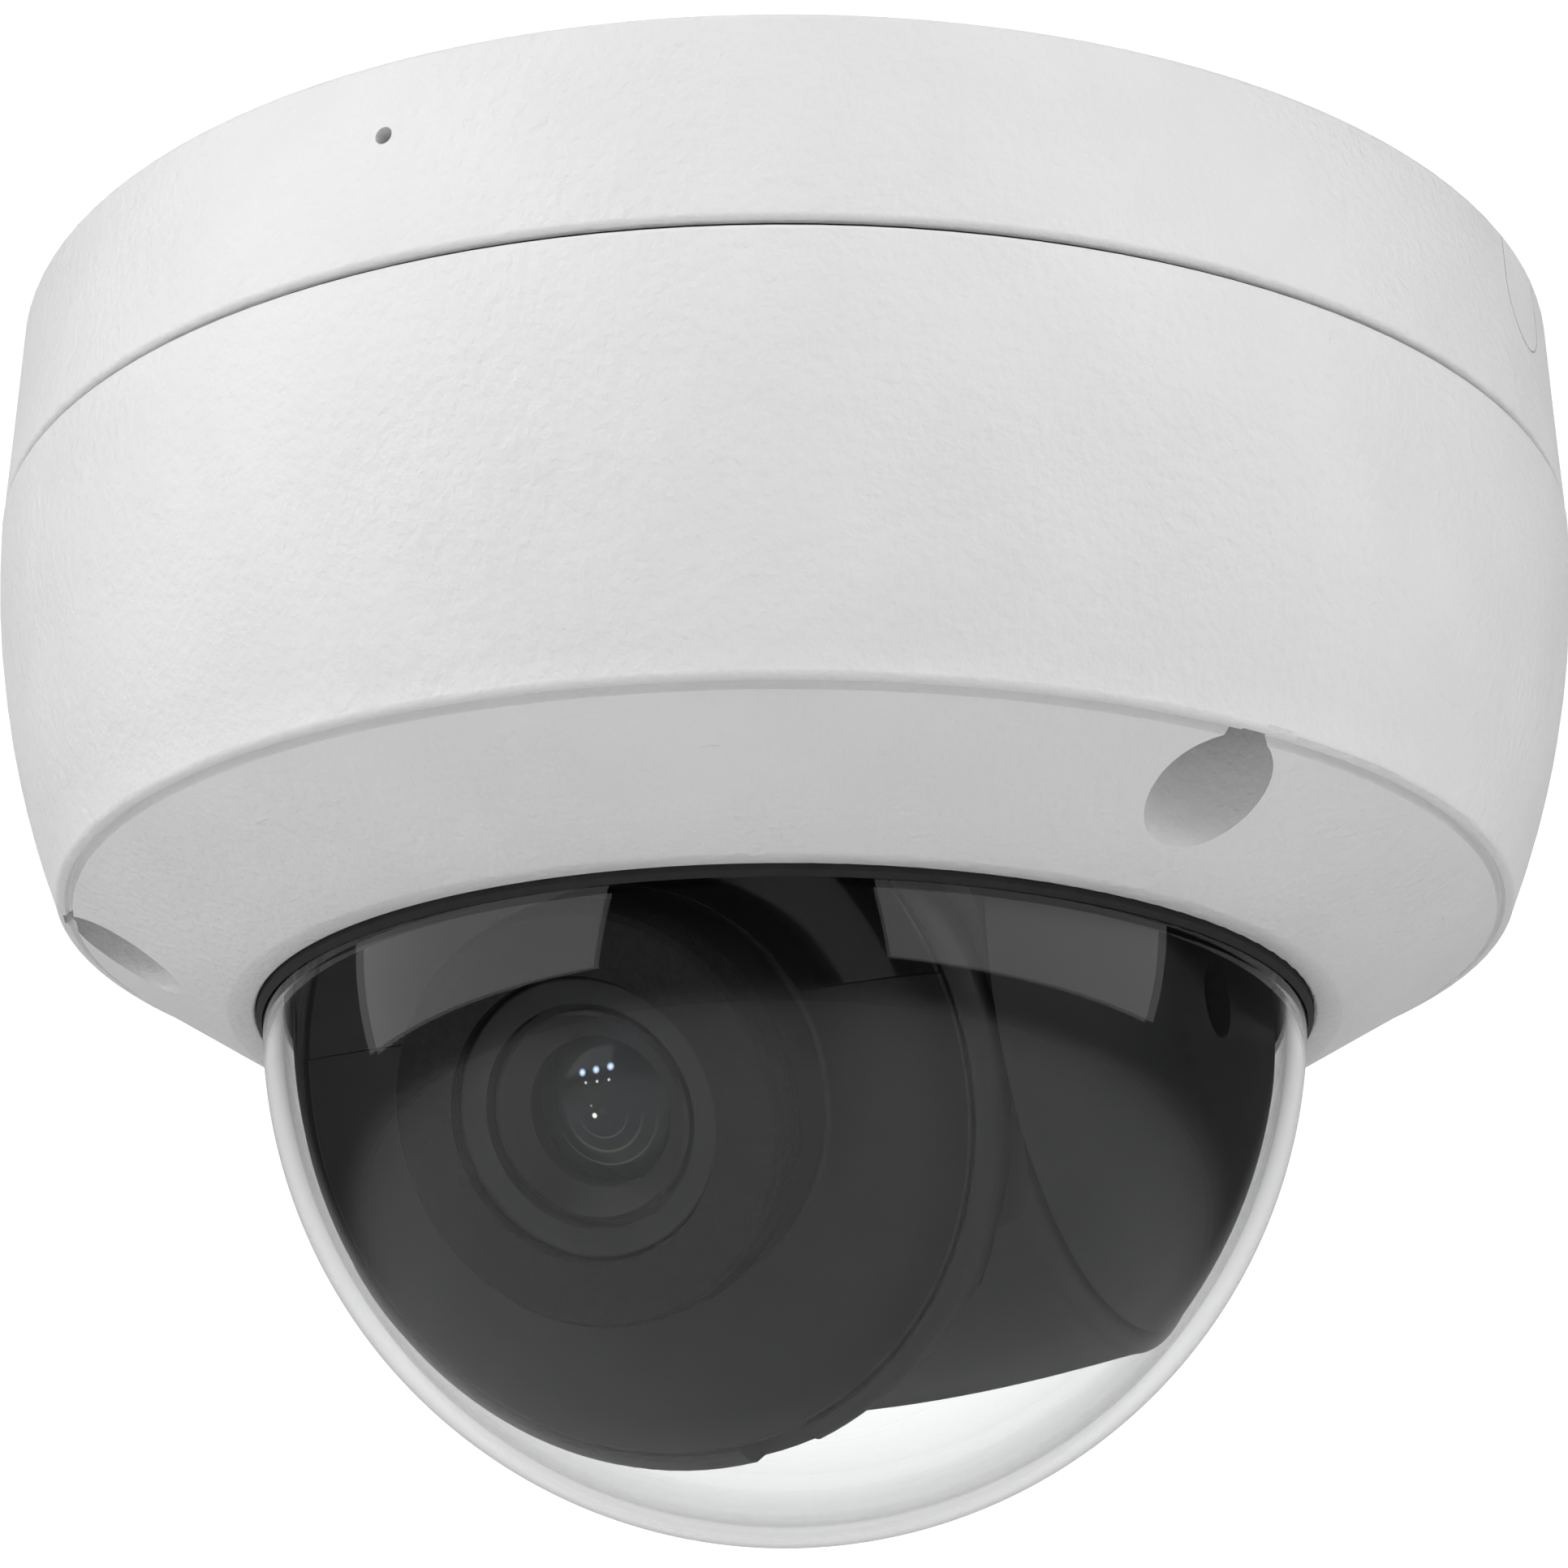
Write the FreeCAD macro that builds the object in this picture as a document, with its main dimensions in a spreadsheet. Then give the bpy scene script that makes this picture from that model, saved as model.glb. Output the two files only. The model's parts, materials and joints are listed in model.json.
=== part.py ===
import FreeCAD, Part
import math
import os
import re
import Sketcher

# A ceiling dome camera: a round base that stays on the ceiling, a bracket that pans, a head that
# tilts, a lens unit that turns in the head, and a cover with a clear dome that drops off downwards.
#
# The origin is the centre of the ceiling face, +Z points up into the ceiling and -Y to the front.
# Sizes called "depth" are distances below the ceiling. Angles called "side" are seen from below
# the ceiling face's own front: 0 is the front (-Y) and positive goes to +X.
# The head's pieces are drawn in the lens frame (origin at the ball's centre, +Z out of the lens,
# +Y up, +X to the right) and take their place from head_place(). Sizes called "out" are distances
# from the ball's centre along the lens axis.

SIZES = {
    # Overall form
    "dome_radius": 39.76, "dome_wall": 1.5, "dome_centre_depth": 52.44,
    "gap": 0.1, "fit": 0.05,
    # Base casting
    "base_top_radius": 60.75, "base_rim_radius": 61.35, "base_depth": 15.7, "base_edge": 0.5,
    "plate_thick": 3.0, "base_wall": 2.95, "spigot_radius": 58.3, "spigot_wall": 1.0,
    "spigot_depth": 17.6, "spigot_top": 11.0, "gasket_outer": 60.55, "gasket_inner": 59.3,
    "gasket_groove": 1.2, "seam": 0.4,
    "base_boss_radius": 5.0, "thread_top": 4.2,
    "mount_circle": 49.0, "mount_hole": 2.25, "mount_pad": 4.5, "mount_pad_depth": 4.5,
    "mic_side": -26.5, "mic_depth": 5.93, "mic_hole": 0.65, "mic_radius": 2.0, "boot_radius": 2.8,
    "mic_inner": 55.6,
    # Cable channel from the cable hole to the side of the base
    "channel_side": 65, "channel_width": 8.4, "channel_depth": 7.9, "channel_wall": 2.0,
    "cable_circle": 40.0, "cable_boss": 9.5, "cable_boss_depth": 10.5, "cable_hole": 7.0,
    "cable_radius": 2.8,
    "plug_inner": 53.0, "plug_gap": 0.16, "grommet_flange": 9.0, "grommet_depth": 12.0,
    "cable_end_depth": 13.4, "wire_radius": 0.45, "plug_side": 86, "wire_pitch": 1.25,
    # Board stack
    "board_top": 6.5, "board_thick": 1.6, "board_radius": 43.5, "board_hole": 7.0,
    "post_circle": 37.0, "post_side": 20, "post_radius": 3.5, "post_thread": 1.25,
    "standoff_across": 5.0, "stud_radius": 1.2, "stud_top": 4.2, "standoff_bore": 1.05,
    "bracket_screw_head": 2.3, "bracket_screw_high": 1.5, "bracket_screw_tip": 10.4,
    "chip_side": 14.0, "chip_thick": 1.6, "chip_x": -14.0, "chip_y": 12.0,
    "memory_left": -22.0, "memory_right": -10.0, "transformer_x": 25.0, "transformer_y": 4.0,
    "coil_left": -12.0, "coil_right": -2.0, "coil_y": -28.0,
    "socket_width": 14.8, "socket_length": 15.0, "socket_thick": 1.9, "socket_end": 42.0,
    "card_width": 11.0, "card_length": 15.0, "card_thick": 0.8, "card_out": 1.3,
    "switch_side": -130, "switch_circle": 35.0, "switch_width": 6.0, "switch_high": 3.2,
    "button_radius": 1.6, "button_out": 1.0, "button_travel": 0.3,
    # Pan bearing
    "bearing_top": 13.0, "bearing_thick": 2.0, "bearing_radius": 31.0, "bearing_bore": 10.05,
    "ear_radius": 4.2, "stop_circle": 26.0, "stop_radius": 1.2, "stop_high": 1.3,
    "stop_web": 1.9, "turntable_gap": 0.4, "turntable_thick": 2.5, "turntable_radius": 33.0,
    "hub_radius": 10.0, "hub_hole": 6.0, "hub_top": 11.8, "clip_top": 12.1, "clip_thick": 0.75,
    "clip_radius": 12.0, "clip_groove": 9.2, "washer_radius": 16.0, "washer_thick": 0.3,
    # Ball: yoke arms, cheeks and head
    "pan_rest": -25.8, "tilt_rest": 25.8,
    "ball_radius": 37.5, "cheek_plane": 27.3, "cheek_wall": 1.5, "cheek_face": 35.4,
    "arm_thick": 2.5, "arm_half": 11.0, "pivot_radius": 2.5, "pivot_head": 3.4,
    "pivot_head_thick": 2.2, "cheek_hole_radius": 2.8, "cheek_hole_forward": 2.5,
    "cheek_hole_down": 3.5, "hook_width": 1.4,
    "barrel_radius": 30.0, "barrel_shoulder": 27.2, "barrel_shoulder_x": 25.3,
    "barrel_end": 25.7, "head_half": 27.0, "head_wall": 1.6,
    "cup_radius": 26.4, "cup_out": 24.4, "roll_bore": 25.0, "roll_ledge": 23.2,
    "ledge_out": 10.0, "ledge_thick": 1.6, "split_out": -6.0,
    "head_screw_x": 22.4, "head_screw_y": 14.0, "head_boss": 3.3, "head_boss_out": 5.5,
    "head_screw_radius": 1.25,
    "head_screw_head": 2.2, "head_screw_seat": -19.0, "head_screw_high": 1.6,
    # Rim ring and front cap
    "rim_radius": 26.9, "rim_inner": 25.5, "rim_top": 27.65, "rim_bevel_out": 26.1,
    "rim_skirt": 22.6, "notch_angle": -76.7, "notch_width": 5.2,
    "cap_radius": 25.35, "cap_fold": 19.9, "cap_out": 26.4, "cap_thick": 1.8,
    "cap_skirt": 24.9, "cap_skirt_wall": 1.7, "cap_neck": 23.1, "cap_neck_end": 6.4,
    "cap_neck_groove": 22.3, "roll_clip_out": 7.1, "roll_clip_thick": 1.1, "roll_clip_radius": 24.6,
    "neck_radius": 14.3, "neck_out": 32.0, "neck_bore": 10.3, "neck_wall": 2.0,
    "window_low": 5.6, "window_inner": 14.8, "window_under": 25.2,
    # Foam collar and lens
    "collar_base": 14.8, "collar_edge": 14.5, "collar_front": 14.1, "collar_inner": 9.95,
    "collar_out": 35.05, "collar_edge_out": 34.5,
    "lens_front": 9.8, "lens_front_out": 34.3, "lens_body": 8.4, "lens_thread": 6.0,
    "lens_tail_out": 4.5, "groove_outer": 7.85, "groove_inner": 7.3, "groove_out": 32.9,
    "glass_radius": 5.3, "glass_seat_out": 30.6, "glass_top_out": 32.1, "glass_under_out": 28.6,
    # Infra-red lamps
    "lamp_board_out": 22.9, "lamp_board_thick": 1.0, "lamp_board_radius": 22.6,
    "lamp_board_inner": 13.2, "lamp_circle": 19.0, "lamp_radius": 2.6, "lamp_base": 1.9,
    "lamp_spread": 42,
    # Sensor stack
    "carrier_radius": 21.2, "carrier_out": 11.0, "carrier_thick": 2.0, "carrier_hole": 9.0,
    "sensor_post": 13.0, "sensor_post_radius": 2.5, "sensor_screw_tip": 5.5, "sensor_screw_high": 1.4,
    "sensor_board_radius": 20.5,
    "sensor_board_thick": 1.6, "sensor_side": 9.0, "sensor_thick": 1.2, "holder_radius": 8.2,
    "holder_base": 20.0, "holder_base_thick": 3.2, "holder_out": 13.0, "sink_side": 23.0,
    "sink_thick": 1.5, "fin_high": 4.0, "fin_thick": 1.2,
    # Cover
    "cover_top_radius": 61.45, "cover_curve": 78.0, "cover_low_radius": 55.74,
    "cover_side_depth": 45.0, "step_ledge_radius": 54.95, "step_ledge_depth": 45.6, "step_groove": 0.3,
    "cone_top_radius": 53.7, "cone_top_depth": 46.42, "cone_low_radius": 42.6,
    "cone_low_depth": 53.1, "opening_radius": 40.3, "opening_depth": 53.2,
    "cover_wall": 2.6, "cover_floor": 2.2, "dome_ledge_radius": 44.6, "dome_ledge_depth": 50.2,
    "seal_thick": 0.9, "seal_lip": 0.7, "flange_radius": 44.3, "flange_thick": 2.1,
    "retainer_inner": 38.6, "retainer_outer": 44.3, "retainer_thick": 1.7,
    "retainer_circle": 47.6, "retainer_ear": 2.9, "retainer_screw_head": 2.1,
    "retainer_screw_high": 1.4, "retainer_screw_radius": 0.95, "retainer_screw_tip": 48.9,
    "cover_screw_side": 34.5, "cover_screw_circle": 50.3, "cover_boss": 5.6,
    "recess_radius": 4.4, "recess_depth": 38.0, "seat_thick": 2.5, "boss_bore": 4.2,
    "boss_top": 16.5, "cover_screw_radius": 2.0, "cover_screw_head": 3.6,
    "cover_screw_head_high": 3.0, "cover_screw_tip": 7.0, "cover_screw_socket": 1.5,
    "security_pin": 0.45, "recess_notch_width": 2.0, "recess_notch_reach": 55.2, "screw_clip_radius": 3.8,
    "screw_clip_thick": 0.6,
}

FAR = "100"
doc = FreeCAD.newDocument("DomeCamera")
sheet = doc.addObject("Spreadsheet::Sheet", "Sizes")
nodes = {}


def fill_sheet():
    """Write every driving size into the sheet, each under its own name."""
    for row, (name, size) in enumerate(SIZES.items(), 1):
        sheet.set(f"A{row}", name)
        sheet.set(f"B{row}", str(size))
        sheet.setAlias(f"B{row}", name)
    doc.recompute()


def linked(text):
    """The expression with every size name pointing at its cell."""
    def cell(word):
        return "Sizes." + word[0] if word[0] in SIZES else word[0]

    return re.sub(r"[a-z_]+[a-z0-9_]*", cell, text)


def number(text):
    """The value of an expression of sheet sizes."""
    return float(sheet.evalExpression(text))


def bind(thing, **sizes):
    """Bind properties of an object to expressions of sheet sizes."""
    for name, text in sizes.items():
        thing.setExpression(name, linked(text))
    return thing


def at(thing, x="0", y="0", z="0"):
    """Bind where an object's own origin sits."""
    thing.setExpression("Placement.Base.x", linked(x))
    thing.setExpression("Placement.Base.y", linked(y))
    thing.setExpression("Placement.Base.z", linked(z))
    return thing


def around(side, radius):
    """The x and y of a point at an angle from the front, as expressions."""
    return f"({radius}) * sin({side})", f"-({radius}) * cos({side})"


def turn(thing, axis, degrees):
    """Rotate an object about its own origin."""
    thing.Placement.Rotation = FreeCAD.Rotation(axis, degrees)
    return thing


def cylinder(radius, low, high, x="0", y="0"):
    """An upright cylinder between two heights."""
    rod = doc.addObject("Part::Cylinder", "rod")
    bind(rod, Radius=radius, Height=f"({high}) - ({low})")
    return at(rod, x, y, low)


def ring(inner, outer, low, high, x="0", y="0"):
    """An upright tube between two heights."""
    return cut(cylinder(outer, low, high, x, y), cylinder(inner, low, high, x, y))


def box(low, high):
    """A block between two corners."""
    block = doc.addObject("Part::Box", "block")
    bind(block, Length=f"({high[0]}) - ({low[0]})", Width=f"({high[1]}) - ({low[1]})",
         Height=f"({high[2]}) - ({low[2]})")
    return at(block, *low)


def block_at(side, start, end, width, low, high):
    """A block that points away from the Z axis at an angle from the front."""
    block = doc.addObject("Part::Box", "block")
    bind(block, Length=width, Width=f"({end}) - ({start})", Height=f"({high}) - ({low})")
    shifted = at(block, f"-({width}) / 2", f"-({end})", low)
    return turned_about_z(shifted, side)


def turned_about_z(thing, degrees):
    """The object carried round the Z axis by an angle."""
    holder = doc.addObject("Part::Compound", "turned")
    holder.Links = [thing]
    about_z = FreeCAD.Rotation(FreeCAD.Vector(0, 0, 1), number(degrees))
    holder.Placement = FreeCAD.Placement(FreeCAD.Vector(), about_z)
    return holder


def rod_along(axis, radius, low, high, x="0", y="0", z="0"):
    """A cylinder along X or Y between two places on that axis."""
    rod = doc.addObject("Part::Cylinder", "rod")
    bind(rod, Radius=radius, Height=f"({high}) - ({low})")
    if axis == "X":
        turn(rod, FreeCAD.Vector(0, 1, 0), 90)
        return at(rod, low, y, z)
    turn(rod, FreeCAD.Vector(1, 0, 0), -90)
    return at(rod, x, low, z)


def ball(radius):
    """A ball at the origin."""
    return bind(doc.addObject("Part::Sphere", "ball"), Radius=radius)


def cut(base, *tools):
    """The base less the tools."""
    result = doc.addObject("Part::Cut", "cut")
    result.Base = base
    result.Tool = tools[0] if len(tools) == 1 else fuse(*tools)
    return result


def fuse(*pieces):
    """One solid of several that touch, or a tool of several."""
    if len(pieces) == 1:
        return pieces[0]
    result = doc.addObject("Part::MultiFuse", "joined")
    result.Shapes = list(pieces)
    result.Refine = True
    return result


def common(*pieces):
    """What several solids share."""
    result = doc.addObject("Part::MultiCommon", "shared")
    result.Shapes = list(pieces)
    return result


def group(*pieces):
    """Identical separate pieces kept as one node."""
    result = doc.addObject("Part::Compound", "set")
    result.Links = list(pieces)
    return result


def origin_plane(body, role):
    """One of a body's own origin planes."""
    for plane in body.Origin.OriginFeatures:
        if plane.Role == role:
            return plane
    raise ValueError(role)


def arc_through(start, middle, end):
    """The anticlockwise arc over three points, and whether it begins at the first of them."""
    circle = Part.Circle(start, middle, end)
    flat = Part.Circle(circle.Center, FreeCAD.Vector(0, 0, 1), circle.Radius)
    first, through, last = [math.atan2(point.y - flat.Center.y, point.x - flat.Center.x)
                            for point in (start, middle, end)]
    forward = (through - first) % math.tau < (last - first) % math.tau
    if forward:
        return Part.ArcOfCircle(flat, first, last), True
    return Part.ArcOfCircle(flat, last, first), False


def outline(body, role, points):
    """A closed sketch through the points. A point marked "via" lies on the arc between its neighbours."""
    sketch = body.newObject("Sketcher::SketchObject", "outline")
    sketch.AttachmentSupport = [(origin_plane(body, role), "")]
    sketch.MapMode = "FlatFace"
    corners = [point for point in points if len(point) == 2]
    places = [FreeCAD.Vector(number(point[0]), number(point[1]), 0) for point in points]
    count = len(points)
    edges = []
    for index, point in enumerate(points):
        if len(point) == 3:
            continue
        after = (index + 1) % count
        if len(points[after]) == 3:
            end = (after + 1) % count
            arc, starts_at_corner = arc_through(places[index], places[after], places[end])
            edge = sketch.addGeometry(arc)
            via = sketch.addGeometry(Part.Point(places[after]), True)
            sketch.addConstraint(Sketcher.Constraint("PointOnObject", via, 1, edge))
            pin(sketch, via, 1, points[after])
            edges.append((edge, 1, 2) if starts_at_corner else (edge, 2, 1))
        else:
            edge = sketch.addGeometry(Part.LineSegment(places[index], places[after]))
            edges.append((edge, 1, 2))
    for index, (edge, start, end) in enumerate(edges):
        following, its_start, _ = edges[(index + 1) % len(edges)]
        sketch.addConstraint(Sketcher.Constraint("Coincident", edge, end, following, its_start))
        pin(sketch, edge, start, corners[index])
    return sketch


def pin(sketch, edge, end, point):
    """Hold a sketch point at two distances bound to the sheet."""
    for kind, text in zip(("DistanceX", "DistanceY"), point):
        where = Sketcher.Constraint(kind, -1, 1, edge, end, number(text))
        sketch.setExpression(f"Constraints[{sketch.addConstraint(where)}]", linked(text))


def turned(points):
    """A body turned about the Z axis from an outline of radius and height."""
    body = doc.addObject("PartDesign::Body", "turned")
    sketch = outline(body, "XZ_Plane", points)
    revolution = body.newObject("PartDesign::Revolution", "revolution")
    revolution.Profile = sketch
    revolution.ReferenceAxis = (sketch, ["V_Axis"])
    revolution.Angle = 360
    return body


def padded(points, low, high):
    """A body padded upwards from an outline on the XY plane."""
    body = doc.addObject("PartDesign::Body", "padded")
    sketch = outline(body, "XY_Plane", points)
    pad = body.newObject("PartDesign::Pad", "pad")
    pad.Profile = sketch
    bind(pad, Length=f"({high}) - ({low})")
    return at(body, z=low)


def hexagon(across, low, high, x="0", y="0"):
    """An upright hexagonal bar."""
    bar = doc.addObject("Part::Prism", "bar")
    bar.Polygon = 6
    bind(bar, Circumradius=f"({across}) / 2 / cos(30)", Height=f"({high}) - ({low})")
    return at(bar, x, y, low)


def screw(head_radius, seat, head_high, radius, tip, x="0", y="0", socket="0.8"):
    """A screw driven upwards: its head hangs below the seat and has a hexagonal socket."""
    head = cylinder(head_radius, f"({seat}) - ({head_high})", seat, x, y)
    shank = cylinder(radius, f"({seat}) - ({head_high}) / 4", tip, x, y)
    bottom = f"({seat}) - ({head_high})"
    drive = hexagon(f"2 * ({socket})", bottom, f"{bottom} + ({head_high}) * 0.6", x, y)
    return cut(fuse(head, shank), drive)


def keep(node, thing, place=None):
    """Name a finished piece and put it in its place."""
    thing.Label = node
    if place is not None:
        thing.Placement = place
    nodes[node] = thing
    return thing


def pan_place():
    """Where the pieces that pan stand at rest: turned about the Z axis."""
    return FreeCAD.Placement(FreeCAD.Vector(), FreeCAD.Rotation(FreeCAD.Vector(0, 0, 1), number("pan_rest")))


def head_place():
    """Where the lens frame stands at rest."""
    centre = FreeCAD.Vector(0, 0, -number("dome_centre_depth"))
    pan = FreeCAD.Rotation(FreeCAD.Vector(0, 0, 1), number("pan_rest"))
    tilt = FreeCAD.Rotation(FreeCAD.Vector(1, 0, 0), number("tilt_rest"))
    lens_forward = FreeCAD.Rotation(FreeCAD.Vector(1, 0, 0), 90)
    return FreeCAD.Placement(centre, pan.multiply(tilt).multiply(lens_forward))


# ---------------------------------------------------------------- base and its fittings

COVER_SCREW_SIDES = ("cover_screw_side", "cover_screw_side + 120", "cover_screw_side - 120")
MOUNT_SIDES = ("cover_screw_side + 60", "cover_screw_side + 180", "cover_screw_side - 60")
POST_SIDES = ("post_side", "post_side + 120", "post_side - 120")
BOARD_UNDER = "-board_top - board_thick"


def base_outer_points():
    """The outside of the base, from the ceiling face down to its rim."""
    return [
        ("0", "0"),
        ("base_top_radius - base_edge", "0"),
        ("base_top_radius - base_edge * 0.29", "-base_edge * 0.29", "via"),
        ("base_top_radius", "-base_edge"),
        ("base_rim_radius", "-base_depth + base_edge"),
        ("base_rim_radius - base_edge * 0.29", "-base_depth + base_edge * 0.29", "via"),
        ("base_rim_radius - base_edge", "-base_depth"),
    ]


def channel(width, depth, start, end):
    """A round-bottomed trough under the ceiling face, from the cable hole to the side."""
    half = f"({width}) / 2"
    upper = block_at("channel_side", start, end, width, f"-({depth}) + {half}", "0")
    lower = rod_along("Y", half, f"-({end})", f"-({start})", z=f"-({depth}) + {half}")
    return fuse(upper, turned_about_z(group(lower), "channel_side"))


def mounting_base():
    """The die-cast base: back plate, outer wall, screw bosses, board posts and cable channel."""
    inner = "base_rim_radius - base_wall"
    shell = turned(base_outer_points() + [
        ("gasket_outer", "-base_depth"),
        ("gasket_outer", "-base_depth + gasket_groove"),
        ("gasket_inner", "-base_depth + gasket_groove"),
        ("gasket_inner", "-base_depth"),
        ("spigot_radius", "-base_depth"),
        ("spigot_radius", "-spigot_depth"),
        ("spigot_radius - spigot_wall", "-spigot_depth"),
        ("spigot_radius - spigot_wall", "-spigot_top"),
        (inner, "-spigot_top + spigot_wall"),
        (inner, "-plate_thick"),
        ("0", "-plate_thick"),
    ])
    trough = channel("channel_width + 2 * channel_wall", "channel_depth + channel_wall",
                     "cable_circle", "spigot_radius")
    solids = [shell, common(trough, cylinder("base_top_radius", "-base_depth", "0"))]
    holes = [channel("channel_width", "channel_depth", "cable_circle", FAR)]
    cable_x, cable_y = around("channel_side", "cable_circle")
    solids.append(cylinder("cable_boss", "-cable_boss_depth", "-plate_thick / 2", cable_x, cable_y))
    holes.append(cylinder("cable_hole", f"-{FAR}", "0", cable_x, cable_y))
    for side in COVER_SCREW_SIDES:
        x, y = around(side, "cover_screw_circle")
        solids.append(cylinder("base_boss_radius", "-base_depth", "-plate_thick / 2", x, y))
        solids.append(block_at(side, "cover_screw_circle", "spigot_radius", "plate_thick", "-spigot_top",
                               "-plate_thick / 2"))
        holes.append(cylinder("cover_screw_radius + fit", "-base_depth - gap", "-thread_top", x, y))
    for side in MOUNT_SIDES:
        x, y = around(side, "mount_circle")
        solids.append(cylinder("mount_pad", "-mount_pad_depth", "-plate_thick / 2", x, y))
        holes.append(cylinder("mount_hole", "-mount_pad_depth - gap", "gap", x, y))
    for side in POST_SIDES:
        x, y = around(side, "post_circle")
        solids.append(cylinder("post_radius", "-board_top", "-plate_thick / 2", x, y))
        holes.append(cylinder("post_thread", "-board_top - gap", "-plate_thick", x, y))
    sound_hole = rod_along("Y", "mic_hole", "-base_rim_radius - gap", "-mic_inner", z="-mic_depth")
    holes.append(turned_about_z(group(sound_hole), "mic_side"))
    keep("mounting_base", cut(fuse(*solids), *holes))


def base_gasket():
    """The cord seal between the base and the cover."""
    low = "-base_depth - seam + fit"
    keep("base_gasket", ring("gasket_inner + fit / 2", "gasket_outer - fit / 2", low,
                             "-base_depth + gasket_groove - fit"))


def side_plug():
    """The U-shaped plug that fills the channel's mouth, flush with the wall."""
    body = channel("channel_width - 2 * plug_gap", "channel_depth - plug_gap", "plug_inner", FAR)
    outside = turned(base_outer_points() + [("0", "-base_depth")])
    skin = common(body, outside)
    half = "channel_width / 2 - plug_gap - channel_wall / 2"
    hollow = block_at("channel_side", "plug_inner - gap", "plug_inner + channel_width / 2", f"2 * ({half})",
                      "-channel_depth + channel_wall", "-channel_wall / 2")
    flush = block_at("channel_side", "0", FAR, FAR, "-gap / 2", "gap")
    keep("side_plug", cut(skin, hollow, flush))


def cable_pieces():
    """Grommet, cable, its stripped wires, and the plug and header on the board."""
    x, y = around("channel_side", "cable_circle")
    boss_under = "-cable_boss_depth"
    flange = cylinder("grommet_flange", "-grommet_depth", boss_under, x, y)
    neck = cylinder("cable_hole - fit", boss_under, "-channel_depth", x, y)
    bore = cylinder("cable_radius + fit", f"-{FAR}", "0", x, y)
    keep("cable_grommet", cut(fuse(flange, neck), bore))
    keep("network_cable", cylinder("cable_radius", "-cable_end_depth", "-base_edge", x, y))
    half_angle = "(plug_side - channel_side) / 2"
    wires = []
    for place in (-1.5, -0.5, 0.5, 1.5):
        loop = doc.addObject("Part::Torus", "loop")
        bind(loop, Radius1=f"cable_circle * sin({half_angle})", Radius2="wire_radius")
        loop.Angle3 = 180
        turn(loop, FreeCAD.Vector(1, 0, 0), -90)
        at(loop, y=f"-cable_circle * cos({half_angle}) + {place} * wire_pitch",
           z="-cable_end_depth")
        wires.append(loop)
    keep("cable_wires", turned_about_z(group(*wires), "(plug_side + channel_side) / 2"))
    centre = "cable_circle"
    half = "2 * wire_pitch + wire_radius"
    plug = block_at("plug_side", f"{centre} - ({half})", f"{centre} + ({half})", "3 * wire_pitch",
                    "-cable_end_depth", "-cable_end_depth + 2 * wire_pitch")
    keep("cable_plug", plug)
    header = block_at("plug_side", f"{centre} - ({half}) - gap", f"{centre} + ({half}) + gap",
                      "4 * wire_pitch", "-cable_end_depth + 2 * wire_pitch", BOARD_UNDER)
    keep("cable_header", header)


def main_board():
    """The round board, cut away for the cable boss."""
    board = cylinder("board_radius", BOARD_UNDER, "-board_top")
    x, y = around("channel_side", "cable_circle")
    holes = [cylinder("cable_boss + 4 * gap", f"-{FAR}", "0", x, y), cylinder("board_hole", f"-{FAR}", "0")]
    holes.append(block_at("channel_side", "cable_circle", FAR, "2 * cable_boss", f"-{FAR}", "0"))
    for side in POST_SIDES:
        x, y = around(side, "post_circle")
        holes.append(cylinder("stud_radius + gap", f"-{FAR}", "0", x, y))
    keep("main_board", cut(board, *holes))


def centred_box(width, length, x, y, low, high):
    """An upright block given by its middle, its two sides and its heights."""
    return box((f"{x} - ({width}) / 2", f"{y} - ({length}) / 2", low),
               (f"{x} + ({width}) / 2", f"{y} + ({length}) / 2", high))


def board_parts():
    """Chips, transformer and coils soldered to the board, and the pad that cools the processor."""
    chip_top = "-board_top + chip_thick"
    keep("processor_chip", centred_box("chip_side", "chip_side", "chip_x", "chip_y", "-board_top", chip_top))
    pad_side = "chip_side - 1"
    keep("heat_pad", centred_box(pad_side, pad_side, "chip_x", "chip_y", chip_top, "-plate_thick"))
    memory_under = f"{BOARD_UNDER} - chip_thick * 0.6"
    memory = [centred_box("chip_side * 0.6", "chip_side * 0.75", x, "chip_y", memory_under, BOARD_UNDER)
              for x in ("memory_left", "memory_right")]
    keep("memory_chips", group(*memory))
    keep("network_transformer", centred_box("chip_side", "chip_side * 0.65", "transformer_x", "transformer_y",
                                            f"{BOARD_UNDER} - chip_thick * 2.5", BOARD_UNDER))
    coil_side, coil_under = "chip_side * 0.5", f"{BOARD_UNDER} - chip_thick * 2"
    coils = [centred_box(coil_side, coil_side, x, "coil_y", coil_under, BOARD_UNDER)
             for x in ("coil_left", "coil_right")]
    keep("power_inductors", group(*coils))


def card_pieces():
    """The memory card and the socket it slides out of, towards the back."""
    top = BOARD_UNDER
    under = f"{top} - socket_thick"
    shell = box(("-socket_width / 2", "socket_end - socket_length", under),
                ("socket_width / 2", "socket_end", top))
    slot_middle = f"{top} - socket_thick / 2"
    slot = box(("-card_width / 2 - gap", "socket_end - card_length + card_out - gap",
                f"{slot_middle} - card_thick / 2 - fit"),
               ("card_width / 2 + gap", "socket_end + gap", f"{slot_middle} + card_thick / 2 + fit"))
    keep("card_socket", cut(shell, slot))
    card = box(("-card_width / 2", "socket_end - card_length + card_out", f"{slot_middle} - card_thick / 2"),
               ("card_width / 2", "socket_end + card_out", f"{slot_middle} + card_thick / 2"))
    corner = padded([
        ("card_width / 2 + gap", "socket_end - card_length + card_out - gap"),
        ("card_width / 2 + gap", "socket_end - card_length + card_out + 2"),
        ("card_width / 2 - 2", "socket_end - card_length + card_out - gap"),
    ], f"{top} - socket_thick", top)
    keep("memory_card", cut(card, corner))


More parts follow.
